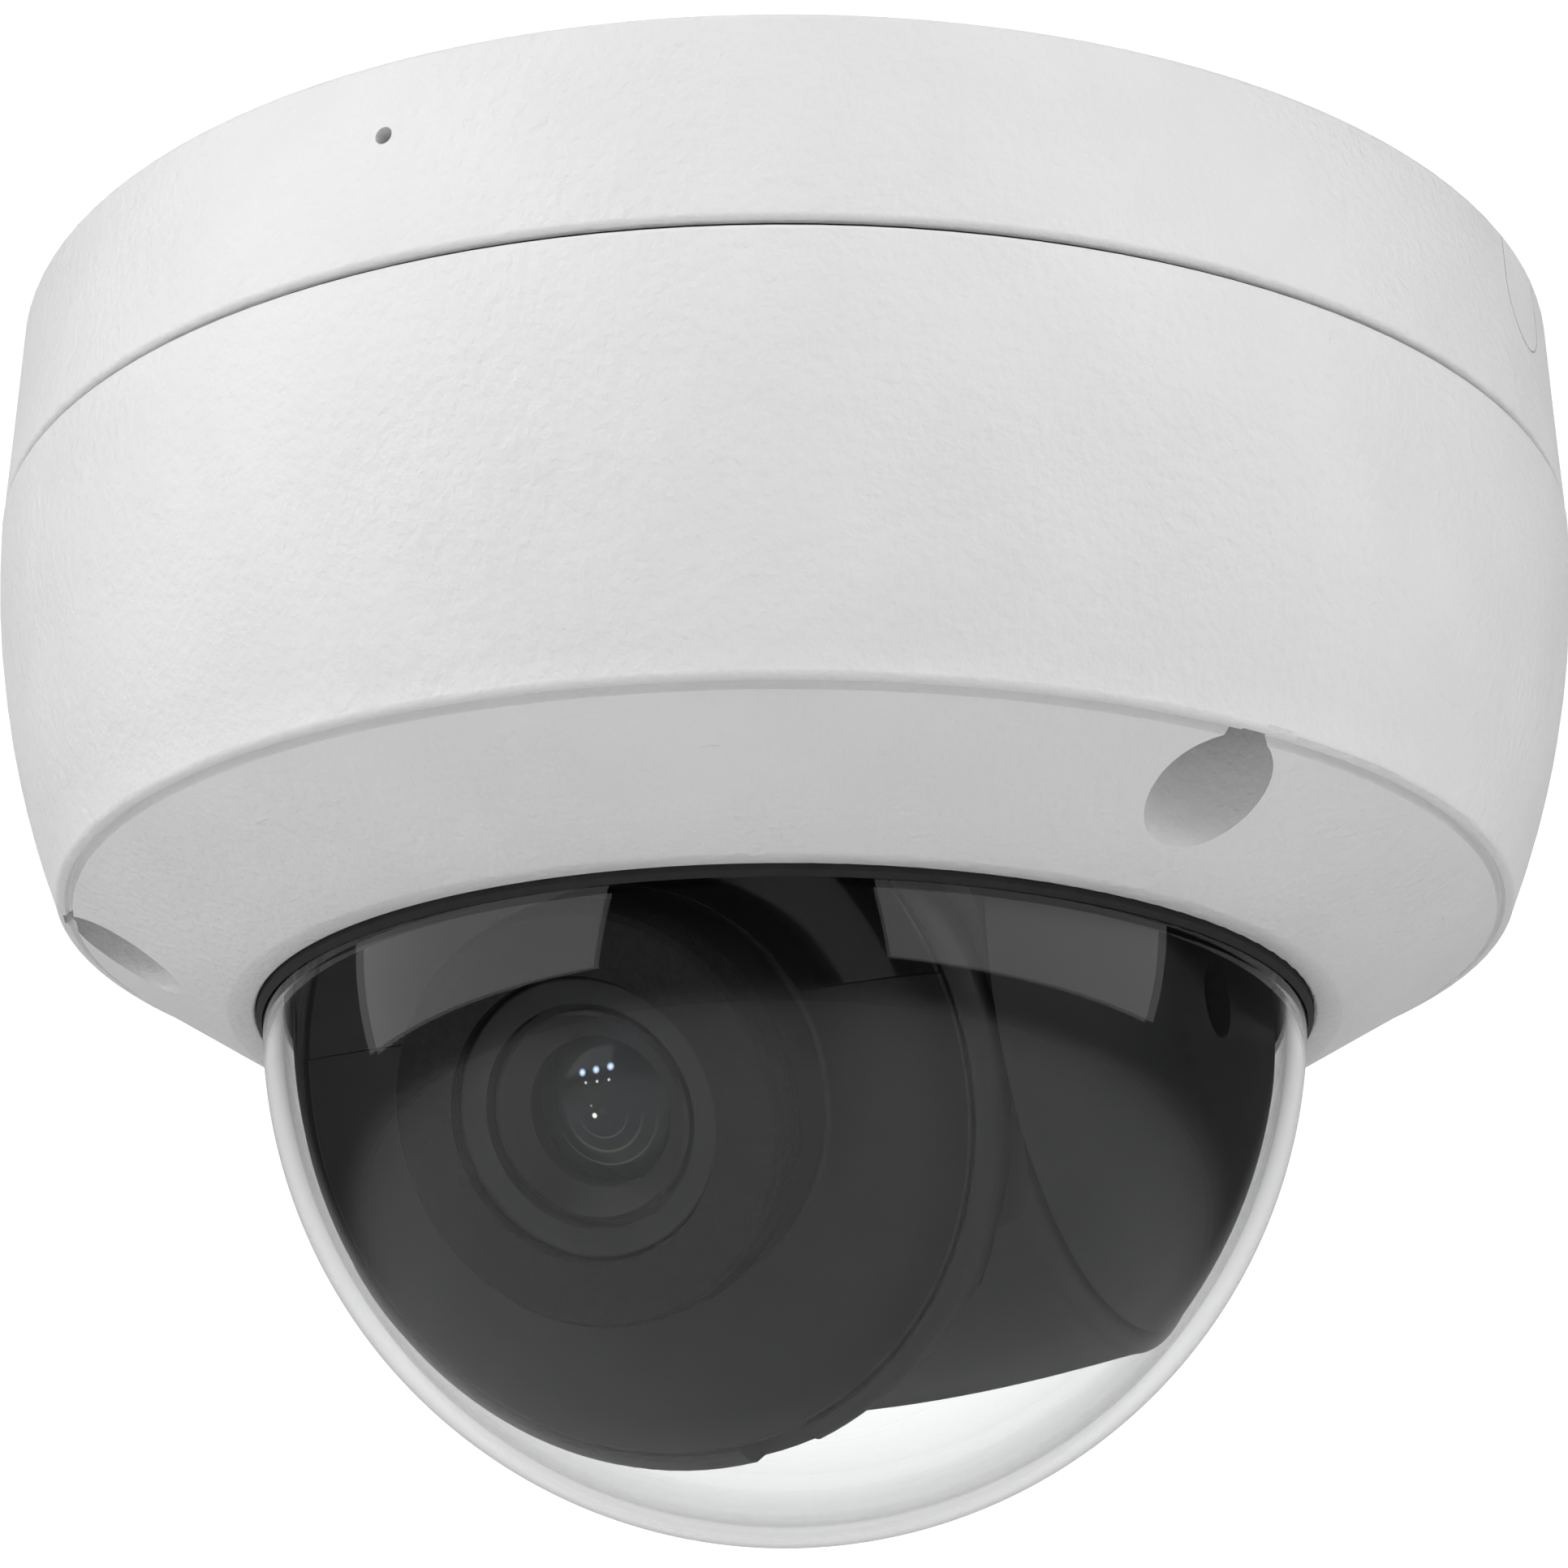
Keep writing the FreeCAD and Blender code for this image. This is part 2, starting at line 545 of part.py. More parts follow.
def reset_pieces():
    """The reset switch under the board and its small push button."""
    x, y = around("switch_side", "switch_circle")
    under = f"{BOARD_UNDER} - switch_high"
    well_top = f"{under} + button_travel + 0.55"
    case = centred_box("switch_width", "switch_width", x, y, under, BOARD_UNDER)
    keep("reset_switch", cut(case, cylinder("button_radius + fit", f"{under} - gap", well_top, x, y)))
    button_top = f"{well_top} - button_travel - gap"
    keep("reset_button", cylinder("button_radius", f"{under} - button_out", button_top, x, y))


def microphone_pieces():
    """The microphone capsule in its rubber boot, behind the sound hole."""
    outer = "base_rim_radius - base_wall - 3 * fit"
    boot = cut(rod_along("Y", "boot_radius", f"-({outer})", "-mic_inner", z="-mic_depth"),
               rod_along("Y", "mic_radius", f"-{FAR}", "0", z="-mic_depth"))
    capsule = rod_along("Y", "mic_radius - fit / 2", f"-({outer}) + 4 * gap", "-mic_inner + 2 * gap",
                        z="-mic_depth")
    keep("microphone_boot", turned_about_z(group(boot), "mic_side"))
    keep("microphone", turned_about_z(group(capsule), "mic_side"))


# ---------------------------------------------------------------- pan bearing

BEARING_UNDER = "-bearing_top - bearing_thick"
TURNTABLE_TOP = "-bearing_top - bearing_thick - turntable_gap"
TURNTABLE_UNDER = "-bearing_top - bearing_thick - turntable_gap - turntable_thick"


def standoffs_and_screws():
    """Hexagonal spacers that clamp the board, and the screws that hold the bearing plate to them."""
    spacers = []
    screws = []
    for side in POST_SIDES:
        x, y = around(side, "post_circle")
        bar = hexagon("standoff_across", "-bearing_top", BOARD_UNDER, x, y)
        stud = cylinder("stud_radius", BOARD_UNDER, "-stud_top", x, y)
        bore = cylinder("standoff_bore", f"-{FAR}", "-bracket_screw_tip + 1", x, y)
        spacers.append(cut(fuse(bar, stud), bore))
        screws.append(screw("bracket_screw_head", BEARING_UNDER, "bracket_screw_high", "standoff_bore - fit",
                            "-bracket_screw_tip", x, y))
    keep("board_standoffs", group(*spacers))
    keep("bracket_screws", group(*screws))


def bearing_plate():
    """The fixed plate that the turntable hangs from, with its stop peg."""
    plates = [cylinder("bearing_radius", BEARING_UNDER, "-bearing_top")]
    holes = [cylinder("bearing_bore", f"-{FAR}", "0")]
    for side in POST_SIDES:
        x, y = around(side, "post_circle")
        plates.append(cylinder("ear_radius", BEARING_UNDER, "-bearing_top", x, y))
        plates.append(block_at(side, "bearing_radius / 2", "post_circle", "2 * ear_radius", BEARING_UNDER,
                               "-bearing_top"))
        holes.append(cylinder("standoff_bore + gap", f"-{FAR}", "0", x, y))
    x, y = around("pan_rest", "stop_circle")
    plates.append(cylinder("stop_radius", f"{BEARING_UNDER} - stop_high", "-bearing_top", x, y))
    keep("bearing_plate", cut(fuse(*plates), *holes))


def pan_fasteners():
    """The friction washer and the split clip that hold the turntable's hub in the plate."""
    keep("pan_washer", ring("hub_radius + gap", "washer_radius", f"{TURNTABLE_TOP} + gap / 4",
                            f"{TURNTABLE_TOP} + gap / 4 + washer_thick"), pan_place())
    clip = ring("clip_groove + fit", "clip_radius", "-clip_top - clip_thick", "-clip_top")
    mouth = block_at("180", "0", "2 * clip_radius", "clip_radius * 0.8", f"-{FAR}", "0")
    keep("pan_clip", cut(clip, mouth), pan_place())


def yoke():
    """The turntable with its hub and the two arms that carry the head."""
    disc = turned([
        ("hub_hole", "-hub_top"),
        ("hub_radius", "-hub_top"),
        ("hub_radius", "-clip_top"),
        ("clip_groove", "-clip_top"),
        ("clip_groove", "-clip_top - clip_thick - gap"),
        ("hub_radius", "-clip_top - clip_thick - gap"),
        ("hub_radius", TURNTABLE_TOP),
        ("turntable_radius", TURNTABLE_TOP),
        ("turntable_radius", TURNTABLE_UNDER),
        ("hub_hole", TURNTABLE_UNDER),
    ])
    groove = ring("stop_circle - 2", "stop_circle + 2", f"{TURNTABLE_TOP} - stop_high", TURNTABLE_TOP)
    web = block_at("180", "stop_circle - 3", "stop_circle + 3", "stop_web",
                   f"{TURNTABLE_TOP} - stop_high - gap", TURNTABLE_TOP)
    arms = []
    bores = []
    for side in ("1", "-1"):
        inner = f"cheek_plane * {side}" if side == "1" else "-cheek_plane - arm_thick"
        outer = "cheek_plane + arm_thick" if side == "1" else "-cheek_plane"
        arms.append(box((inner, "-arm_half", "-dome_centre_depth"),
                        (outer, "arm_half", f"{TURNTABLE_TOP} - 1")))
        arms.append(rod_along("X", "arm_half", inner, outer, z="-dome_centre_depth"))
        bores.append(rod_along("X", "pivot_radius + fit", inner, outer, z="-dome_centre_depth"))
        hook_low = "cheek_plane + arm_thick - 1" if side == "1" else "-cheek_face + cheek_wall + gap"
        hook_high = "cheek_face - cheek_wall - gap" if side == "1" else "-cheek_plane - arm_thick + 1"
        hook_middle = "-dome_centre_depth - cheek_hole_down"
        arms.append(box((hook_low, "-cheek_hole_forward - hook_width", f"{hook_middle} - 1"),
                        (hook_high, "-cheek_hole_forward", f"{hook_middle} + 1")))
    keep("yoke", cut(fuse(cut(disc, cut(groove, web)), *arms), *bores), pan_place())


def cheeks():
    """The ball-shaped covers clipped over the yoke's arms."""
    depth = "-dome_centre_depth"
    outer = at(ball("ball_radius"), z=depth)
    inner = at(ball("ball_radius - cheek_wall"), z=depth)
    cap = common(outer, box(("cheek_plane", f"-{FAR}", f"-{FAR}"), ("cheek_face", FAR, "0")))
    hollow = common(inner, box(("cheek_plane - gap", f"-{FAR}", f"-{FAR}"),
                               ("cheek_face - cheek_wall", FAR, "0")))
    arm_slot = box(("cheek_plane - gap", "-arm_half - 2 * gap", depth),
                   ("cheek_plane + arm_thick + 2 * gap", "arm_half + 2 * gap", "0"))
    hole = rod_along("X", "cheek_hole_radius", "cheek_face - 2 * cheek_wall", "cheek_face + gap",
                     y="-cheek_hole_forward", z=f"{depth} - cheek_hole_down")
    right = keep("right_cheek", cut(cap, hollow, arm_slot, hole), pan_place())
    left = doc.addObject("Part::Mirroring", "mirrored")
    left.Source = right
    left.Base = FreeCAD.Vector()
    left.Normal = pan_place().Rotation.multVec(FreeCAD.Vector(1, 0, 0))
    keep("left_cheek", left)


def pivot_pieces():
    """The two shoulder screws that the head tilts on, and the washers beside them."""
    screws = []
    washers = []
    for side in (1, -1):
        tip, seat = "head_half - 4", "cheek_plane + arm_thick + fit"
        head_end = f"{seat} + pivot_head_thick"
        spans = [(tip, head_end), (seat, head_end), ("head_half + fit / 2", "cheek_plane - fit / 2")]
        if side < 0:
            spans = [(f"-({high})", f"-({low})") for low, high in spans]
        pin_body = rod_along("X", "pivot_radius", *spans[0])
        head = rod_along("X", "pivot_head", *spans[1])
        slot_low, slot_high = spans[1]
        slot = box((f"{slot_low} + pivot_head_thick * {0.5 if side > 0 else -0.5}", "-pivot_head", "-0.4"),
                   (f"{slot_high} + pivot_head_thick * {0.5 if side > 0 else -0.5}", "pivot_head", "0.4"))
        screws.append(cut(fuse(pin_body, head), slot))
        washers.append(cut(rod_along("X", "2.4 * pivot_radius", *spans[2]),
                           rod_along("X", "pivot_radius + gap", *spans[2])))
    keep("tilt_screws", group(*screws), head_place())
    keep("tilt_washers", group(*washers), head_place())


# ---------------------------------------------------------------- head shell

def along_x(body):
    """A body turned about Z, laid along the X axis with its seam at the front."""
    return turn(body, FreeCAD.Vector(0, 1, 0), -90)


def barrel(shrink):
    """The crowned drum about the tilt axis, made smaller all round by an amount."""
    half = f"head_half - ({shrink})"
    return along_x(turned([
        ("0", f"-({half})"),
        (f"barrel_end - ({shrink})", f"-({half})"),
        (f"barrel_shoulder - ({shrink}) - 0.35", f"-barrel_shoulder_x + ({shrink}) - 1.05", "via"),
        (f"barrel_shoulder - ({shrink})", f"-barrel_shoulder_x + ({shrink})"),
        (f"barrel_radius - ({shrink})", "0", "via"),
        (f"barrel_shoulder - ({shrink})", f"barrel_shoulder_x - ({shrink})"),
        (f"barrel_shoulder - ({shrink}) - 0.35", f"barrel_shoulder_x - ({shrink}) + 1.05", "via"),
        (f"barrel_end - ({shrink})", half),
        ("0", half),
    ]))


def coned_barrel(shrink):
    """The same drum with its crown made of six cones, which keeps the rear cover's cuts simple."""
    half = f"head_half - ({shrink})"
    crown = [(f"barrel_radius - ({shrink}) - (barrel_radius - barrel_shoulder) * {step * step} / 9",
              f"(barrel_shoulder_x - ({shrink})) * {step} / 3") for step in range(-3, 4)]
    ends = [(f"barrel_end - ({shrink})", f"-({half})"), (f"barrel_end - ({shrink})", half)]
    return along_x(turned([("0", f"-({half})"), ends[0], *crown, ends[1], ("0", half)]))


HEAD_SCREW_PLACES = [(f"{x}head_screw_x", f"{y}head_screw_y") for x in ("", "-") for y in ("", "-")]


def head_halves():
    """The front housing and the rear cover of the head."""
    everywhere = f"-{FAR}"
    front_slab = box((everywhere, everywhere, "split_out + gap / 2"), (FAR, FAR, "cup_out"))
    rear_slab = box((everywhere, everywhere, everywhere), (FAR, FAR, "split_out - gap / 2"))
    ledge_back = "ledge_out - ledge_thick"
    inner_slab = box((everywhere, everywhere, "split_out"), (FAR, FAR, ledge_back))
    pivot_bore = "pivot_radius + fit / 2"
    front = common(fuse(barrel("0"), cylinder("cup_radius", "0", "cup_out")), front_slab)
    room = [common(barrel("head_wall"), inner_slab),
            cylinder("roll_ledge", "0", "ledge_out + gap"),
            cylinder("roll_bore", "ledge_out", "cup_out + gap"),
            ring("cup_radius", "rim_radius + gap", "rim_skirt - gap", "cup_out + gap")]
    bosses = [rod_along("X", "1.8 * pivot_radius", "head_half - 5", "head_half - head_wall / 2"),
              rod_along("X", "1.8 * pivot_radius", "head_wall / 2 - head_half", "5 - head_half")]
    bores = [rod_along("X", pivot_bore, "head_half - 4 - gap", FAR),
             rod_along("X", pivot_bore, everywhere, "4 + gap - head_half")]
    rear = [cut(common(coned_barrel("0"), rear_slab), coned_barrel("head_wall"))]
    cable_slot = box(("-head_screw_x / 3", "head_screw_y - 2", "head_screw_seat - 1"),
                     ("head_screw_x / 3", FAR, "split_out - 3"))
    rear_holes = [cable_slot]
    for x, y in HEAD_SCREW_PLACES:
        bosses.append(cylinder("head_boss", "split_out + gap / 2", "head_boss_out", x, y))
        bores.append(cylinder("head_screw_radius + gap / 2", "split_out", "head_boss_out - 1", x, y))
        rear_boss = cylinder("head_boss", "-barrel_radius", "split_out - gap / 2", x, y)
        rear.append(common(rear_boss, coned_barrel("head_wall / 2")))
        rear_holes.append(cylinder("head_screw_radius + gap / 2", "-barrel_radius", "0", x, y))
        rear_holes.append(cylinder("head_screw_head + gap", everywhere, "head_screw_seat", x, y))
    inner_bosses = common(fuse(*bosses), barrel("head_wall / 2"))
    keep("head_shell", cut(fuse(cut(front, *room), inner_bosses), *bores), head_place())
    keep("head_rear_cover", cut(fuse(*rear), *rear_holes), head_place())
    screws = [screw("head_screw_head", "head_screw_seat", "head_screw_high", "head_screw_radius",
                    "head_boss_out - 2", x, y) for x, y in HEAD_SCREW_PLACES]
    keep("head_screws", group(*screws), head_place())


def rim_ring():
    """The bevelled ring round the front cap, with a notch in its lower edge."""
    body = turned([
        ("rim_inner", "cup_out + fit"),
        ("rim_inner", "rim_top - 0.15"),
        ("rim_inner + 0.08", "rim_top - 0.03", "via"),
        ("rim_inner + 0.25", "rim_top"),
        ("rim_radius - 0.4", "rim_bevel_out + 0.85", "via"),
        ("rim_radius", "rim_bevel_out"),
        ("rim_radius", "rim_skirt"),
        ("cup_radius + fit", "rim_skirt"),
        ("cup_radius + fit", "cup_out + fit"),
    ])
    notch = block_at("notch_angle + 90", "rim_inner - 1", "rim_radius + 1", "notch_width",
                     "cup_out + 0.3", FAR)
    keep("rim_ring", cut(body, notch), head_place())


# ---------------------------------------------------------------- lens unit, which turns in the head

def cap_points():
    """The front cap's outline: neck, dished face, edge, skirt and the clip groove at its end."""
    groove_top = "roll_clip_out + roll_clip_thick + gap"
    inside = "cap_skirt - cap_skirt_wall"
    under = "cap_out - cap_thick"
    return [
        ("neck_bore", "neck_out"),
        ("neck_radius", "neck_out"),
        ("neck_radius", "cap_out + 0.5"),
        ("neck_radius + 0.15", "cap_out + 0.15", "via"),
        ("neck_radius + 0.5", "cap_out"),
        ("cap_fold", "cap_out"),
        ("cap_fold + 3.1", "cap_out + 0.35", "via"),
        ("cap_radius - 0.25", "rim_top"),
        ("cap_radius - 0.08", "rim_top - 0.1", "via"),
        ("cap_radius", "rim_top - 0.3"),
        ("cap_radius", "cup_out + 0.6"),
        ("cap_skirt", "cup_out + 0.6"),
        ("cap_skirt", "ledge_out + gap"),
        ("cap_neck", "ledge_out + gap"),
        ("cap_neck", groove_top),
        ("cap_neck_groove", groove_top),
        ("cap_neck_groove", "roll_clip_out - gap"),
        ("cap_neck", "roll_clip_out - gap"),
        ("cap_neck", "cap_neck_end"),
        ("cap_neck - cap_thick", "cap_neck_end"),
        ("cap_neck - cap_thick", "carrier_out + 1"),
        (inside, "carrier_out + 3"),
        (inside, under),
        ("neck_radius - neck_wall", under),
        ("neck_radius - neck_wall", "neck_out - neck_wall"),
        ("neck_bore", "neck_out - neck_wall"),
    ]


def window_zone(margin):
    """The space of the lamp window: the face above a level chord, outside the neck."""
    slab = box((f"-{FAR}", f"window_low + ({margin})", f"window_under + ({margin}) / 2"), (FAR, FAR, FAR))
    return cut(slab, cylinder(f"window_inner + ({margin})", "0", FAR))


LAMP_ANGLES = ("90 - lamp_spread", "90", "90 + lamp_spread")


def lamp_place(angle):
    """The x and y of a lamp in the lens frame."""
    return f"lamp_circle * cos({angle})", f"lamp_circle * sin({angle})"


def front_cap_and_window():
    """The front cap with its neck, and the dark lamp window set into it."""
    hole_radius = "lamp_radius + 2 * gap"
    lamp_holes = [cylinder(hole_radius, "lamp_board_out", "window_under + gap", *lamp_place(angle))
                  for angle in LAMP_ANGLES]
    keep("front_cap", cut(turned(cap_points()), window_zone("0"), *lamp_holes), head_place())
    keep("ir_window", common(turned(cap_points()), window_zone("gap")), head_place())
    clip = ring("cap_neck_groove + fit", "roll_clip_radius", "roll_clip_out",
                "roll_clip_out + roll_clip_thick")
    mouth = block_at("0", "0", FAR, "roll_clip_radius * 0.3", "0", FAR)
    keep("roll_clip", cut(clip, mouth), head_place())


def lamps():
    """The lamp board and its three infra-red lamps."""
    low, high = "lamp_board_out - lamp_board_thick", "lamp_board_out"
    board = common(ring("lamp_board_inner", "lamp_board_radius", low, high),
                   box((f"-{FAR}", "window_low - 2", "0"), (FAR, FAR, FAR)))
    keep("ir_board", board, head_place())
    lights = []
    for angle in LAMP_ANGLES:
        x, y = lamp_place(angle)
        lens = common(at(ball("lamp_radius"), x, y, "lamp_board_out - lamp_radius + lamp_base"),
                      cylinder("lamp_radius", "lamp_board_out", FAR, x, y))
        lights.append(lens)
    keep("ir_leds", group(*lights), head_place())


def foam_collar():
    """The soft ring that closes the gap between the lens and the dome."""
    keep("foam_collar", turned([
        ("collar_inner", "neck_out + fit"),
        ("collar_base", "neck_out + fit"),
        ("collar_edge", "collar_edge_out"),
        ("collar_front", "collar_out"),
        ("collar_inner", "collar_out"),
    ]), head_place())


def lens_ball(rim, rise, crest, way):
    """The ball whose cap has this rim radius, rise and crest height. Way is 1 for a centre above it."""
    radius = f"((({rim})^2 + ({rise})^2) / (2 * ({rise})))"
    return at(ball(radius), z=f"{crest} + {way} * {radius}")


def lens():
    """The lens: barrel, retaining ring, front glass and rear glass."""
    keep("lens_barrel", turned([
        ("groove_outer", "lens_front_out - 0.35"),
        ("lens_front - 0.3", "lens_front_out"),
        ("lens_front - 0.09", "lens_front_out - 0.09", "via"),
        ("lens_front", "lens_front_out - 0.3"),
        ("lens_front", "neck_out - 1"),
        ("lens_body", "neck_out - 2"),
        ("lens_body", "holder_out + 3"),
        ("lens_thread", "holder_out + 2"),
        ("lens_thread", "lens_tail_out"),
        ("lens_thread - 1.5", "lens_tail_out"),
        ("lens_thread - 1.5", "glass_under_out - 7"),
        ("groove_inner - 0.5", "glass_under_out - 5"),
        ("groove_inner - 0.5", "glass_under_out - fit"),
        ("groove_outer", "glass_under_out - fit"),
    ]), head_place())
    keep("lens_retainer", turned([
        ("glass_radius", "glass_seat_out + 1.7"),
        ("groove_inner - 0.3", "lens_front_out - 0.5"),
        ("groove_inner", "lens_front_out - 0.7"),
        ("groove_inner", "groove_out"),
        ("groove_outer - fit / 2", "groove_out"),
        ("groove_outer - fit / 2", "glass_seat_out + fit"),
        ("glass_radius", "glass_seat_out + fit"),
    ]), head_place())
    front_rim, front_rise = "glass_radius - fit", "glass_top_out - glass_seat_out - 0.1"
    flange = cylinder("groove_outer - gap", "glass_under_out", "glass_seat_out")
    front_dome = common(cylinder(front_rim, "glass_seat_out - 0.5", "glass_top_out"),
                        lens_ball(front_rim, front_rise, "glass_top_out", -1))
    front_hollow = lens_ball("glass_radius - 0.5", "1.2", "glass_under_out + 1.2", -1)
    keep("front_element", cut(fuse(flange, front_dome), front_hollow), head_place())
    rear_rim, rear_low, rear_high = "lens_thread - 1.6", "lens_tail_out + 0.6", "lens_tail_out + 4.5"
    rear_glass = common(cylinder(rear_rim, rear_low, rear_high),
                        lens_ball(rear_rim, "0.9", rear_high, -1),
                        lens_ball(rear_rim, "1", rear_low, 1))
    keep("rear_element", rear_glass, head_place())


SENSOR_POSTS = [(f"{x}sensor_post", f"{y}sensor_post") for x in ("", "-") for y in ("", "-")]


def sensor_stack():
    """The carrier plate, lens holder, sensor board, sensor, heat sink and their screws."""
    plate = cylinder("carrier_radius", "carrier_out - carrier_thick", "carrier_out")
    posts = [cylinder("sensor_post_radius", "0", "carrier_out - carrier_thick / 2", x, y)
             for x, y in SENSOR_POSTS]
    holes = [cylinder("head_screw_radius", "-gap", "sensor_screw_tip + 0.5", x, y) for x, y in SENSOR_POSTS]
    keep("lens_carrier", cut(fuse(plate, *posts), cylinder("carrier_hole", "0", FAR), *holes), head_place())
    base = centred_box("holder_base", "holder_base", "0", "0", "0", "holder_base_thick")
    tube = cylinder("holder_radius", "holder_base_thick / 2", "holder_out")
    cavity = centred_box("sensor_side + 3", "sensor_side + 3", "0", "0", "-gap", "holder_base_thick - 1")
    corners = [cylinder("sensor_post_radius + 2 * gap", "-gap", FAR, x, y) for x, y in SENSOR_POSTS]
    keep("lens_holder", cut(fuse(base, tube), cavity, cylinder("lens_thread + fit / 2", "0", FAR), *corners),
         head_place())
    board = cylinder("sensor_board_radius", "-sensor_board_thick", "0")
    board_holes = [cylinder("head_screw_radius + gap", f"-{FAR}", FAR, x, y) for x, y in SENSOR_POSTS]
    keep("sensor_board", cut(board, *board_holes), head_place())
    chip = centred_box("sensor_side", "sensor_side", "0", "0", "0", "sensor_thick")
    keep("image_sensor", group(chip), head_place())
    sink_back = "-sensor_board_thick - sink_thick"
    slab = centred_box("sink_side", "sink_side", "0", "0", sink_back, "-sensor_board_thick")
    fins = [centred_box("fin_thick", "sink_side", f"{step} * sink_side / 6", "0", f"{sink_back} - fin_high",
                        f"{sink_back} + gap") for step in range(-2, 3)]
    corners = [cylinder("sensor_post_radius", f"-{FAR}", FAR, x, y) for x, y in SENSOR_POSTS]
    keep("sensor_heatsink", cut(fuse(slab, *fins), *corners), head_place())
    screws = [screw("head_screw_head - 0.2", "-sensor_board_thick", "sensor_screw_high",
                    "head_screw_radius - fit", "sensor_screw_tip", x, y) for x, y in SENSOR_POSTS]
    keep("sensor_screws", group(*screws), head_place())


def sensor_cable():
    """The short straight run of the sensor's cable through the turntable's hub."""
    run = cylinder("hub_hole * 0.4", f"{TURNTABLE_UNDER} - 3", f"{BOARD_UNDER} - 1")
    keep("sensor_cable", group(run), pan_place())


# ---------------------------------------------------------------- cover and dome

SEAL_TOP = "-dome_ledge_depth + seal_thick"
RETAINER_UNDER = "-dome_ledge_depth + seal_thick + flange_thick + 2 * fit"
RETAINER_TOP = "-dome_ledge_depth + seal_thick + flange_thick + 2 * fit + retainer_thick"


def cover_inside():
    """Everything within the cover's cone and side wall, less a millimetre, to trim the screw bosses by."""
    return turned([
        ("0", "-cone_low_depth + 1"),
        ("cone_low_radius", "-cone_low_depth + 1"),
        ("cone_top_radius", "-cone_top_depth + 1"),
        ("cover_low_radius - 1", "-cover_side_depth + 1"),
        ("cover_low_radius - 1", "0"),
        ("0", "0"),
    ])


def cover_shell():
    """The cover: a crowned side wall, a step, a cone and a flat lip round the dome opening."""
    top = "-base_depth - seam"
    centre = "cover_top_radius - cover_curve"
    middle_drop = "(cover_side_depth - base_depth) / 2"
    middle = f"{centre} + sqrt(cover_curve ^ 2 - ({middle_drop}) ^ 2)"
    inner_top = "cover_top_radius - cover_wall"
    shell = turned([
        ("cover_top_radius - base_edge", top),
        ("cover_top_radius - base_edge * 0.29", f"{top} - base_edge * 0.29", "via"),
        ("cover_top_radius", f"{top} - base_edge"),
        (middle, f"{top} - ({middle_drop})", "via"),
        ("cover_low_radius", "-cover_side_depth"),
        ("cover_low_radius - 0.2", "-cover_side_depth - 0.42", "via"),
        ("step_ledge_radius", "-step_ledge_depth"),
        ("step_ledge_radius - 0.25", "-step_ledge_depth + step_groove"),
        ("step_ledge_radius - 0.5", "-step_ledge_depth + step_groove"),
        ("step_ledge_radius - 0.65", "-step_ledge_depth - 0.4"),
        ("cone_top_radius", "-cone_top_depth"),
        ("cone_low_radius", "-cone_low_depth"),
        ("cone_low_radius - 0.3", "-opening_depth"),
        ("opening_radius + 0.3", "-opening_depth"),
        ("opening_radius + 0.09", "-opening_depth + 0.09", "via"),
        ("opening_radius", "-opening_depth + 0.3"),
        ("opening_radius", "-dome_ledge_depth"),
        ("dome_ledge_radius", "-dome_ledge_depth"),
        ("dome_ledge_radius", "-dome_ledge_depth + 1.5"),
        ("cone_top_radius - 1.2", "-cone_top_depth + cover_floor"),
        ("cover_low_radius - cover_wall", "-cover_side_depth + 2"),
        (f"{middle} - cover_wall", f"{top} - ({middle_drop})", "via"),
        (inner_top, f"{top} - base_edge"),
        (inner_top, top),
    ])
    solids = [shell]
    holes = []
    for side in COVER_SCREW_SIDES:
        x, y = around(side, "cover_screw_circle")
        solids.append(common(cylinder("cover_boss", f"-{FAR}", "-boss_top", x, y), cover_inside()))
        holes.append(cylinder("recess_radius", f"-{FAR}", "-recess_depth", x, y))
        holes.append(cylinder("cover_screw_radius + 3 * gap", f"-{FAR}", "0", x, y))
        holes.append(cylinder("boss_bore", "-recess_depth + seat_thick", "0", x, y))
        holes.append(block_at(side, "cover_screw_circle", "recess_notch_reach", "recess_notch_width",
                              f"-{FAR}", "-recess_depth"))
        for step in (40, 80):
            x, y = around(f"{side} + {step}", "retainer_circle")
            solids.append(cylinder("retainer_ear", "-cone_top_depth - 2", RETAINER_UNDER, x, y))
            holes.append(cylinder("retainer_screw_radius + fit", "-retainer_screw_tip - 3 * gap", "0", x, y))
            holes.append(cylinder("retainer_ear + 2 * gap", RETAINER_UNDER, "0", x, y))
    keep("cover_shell", cut(fuse(*solids), *holes))


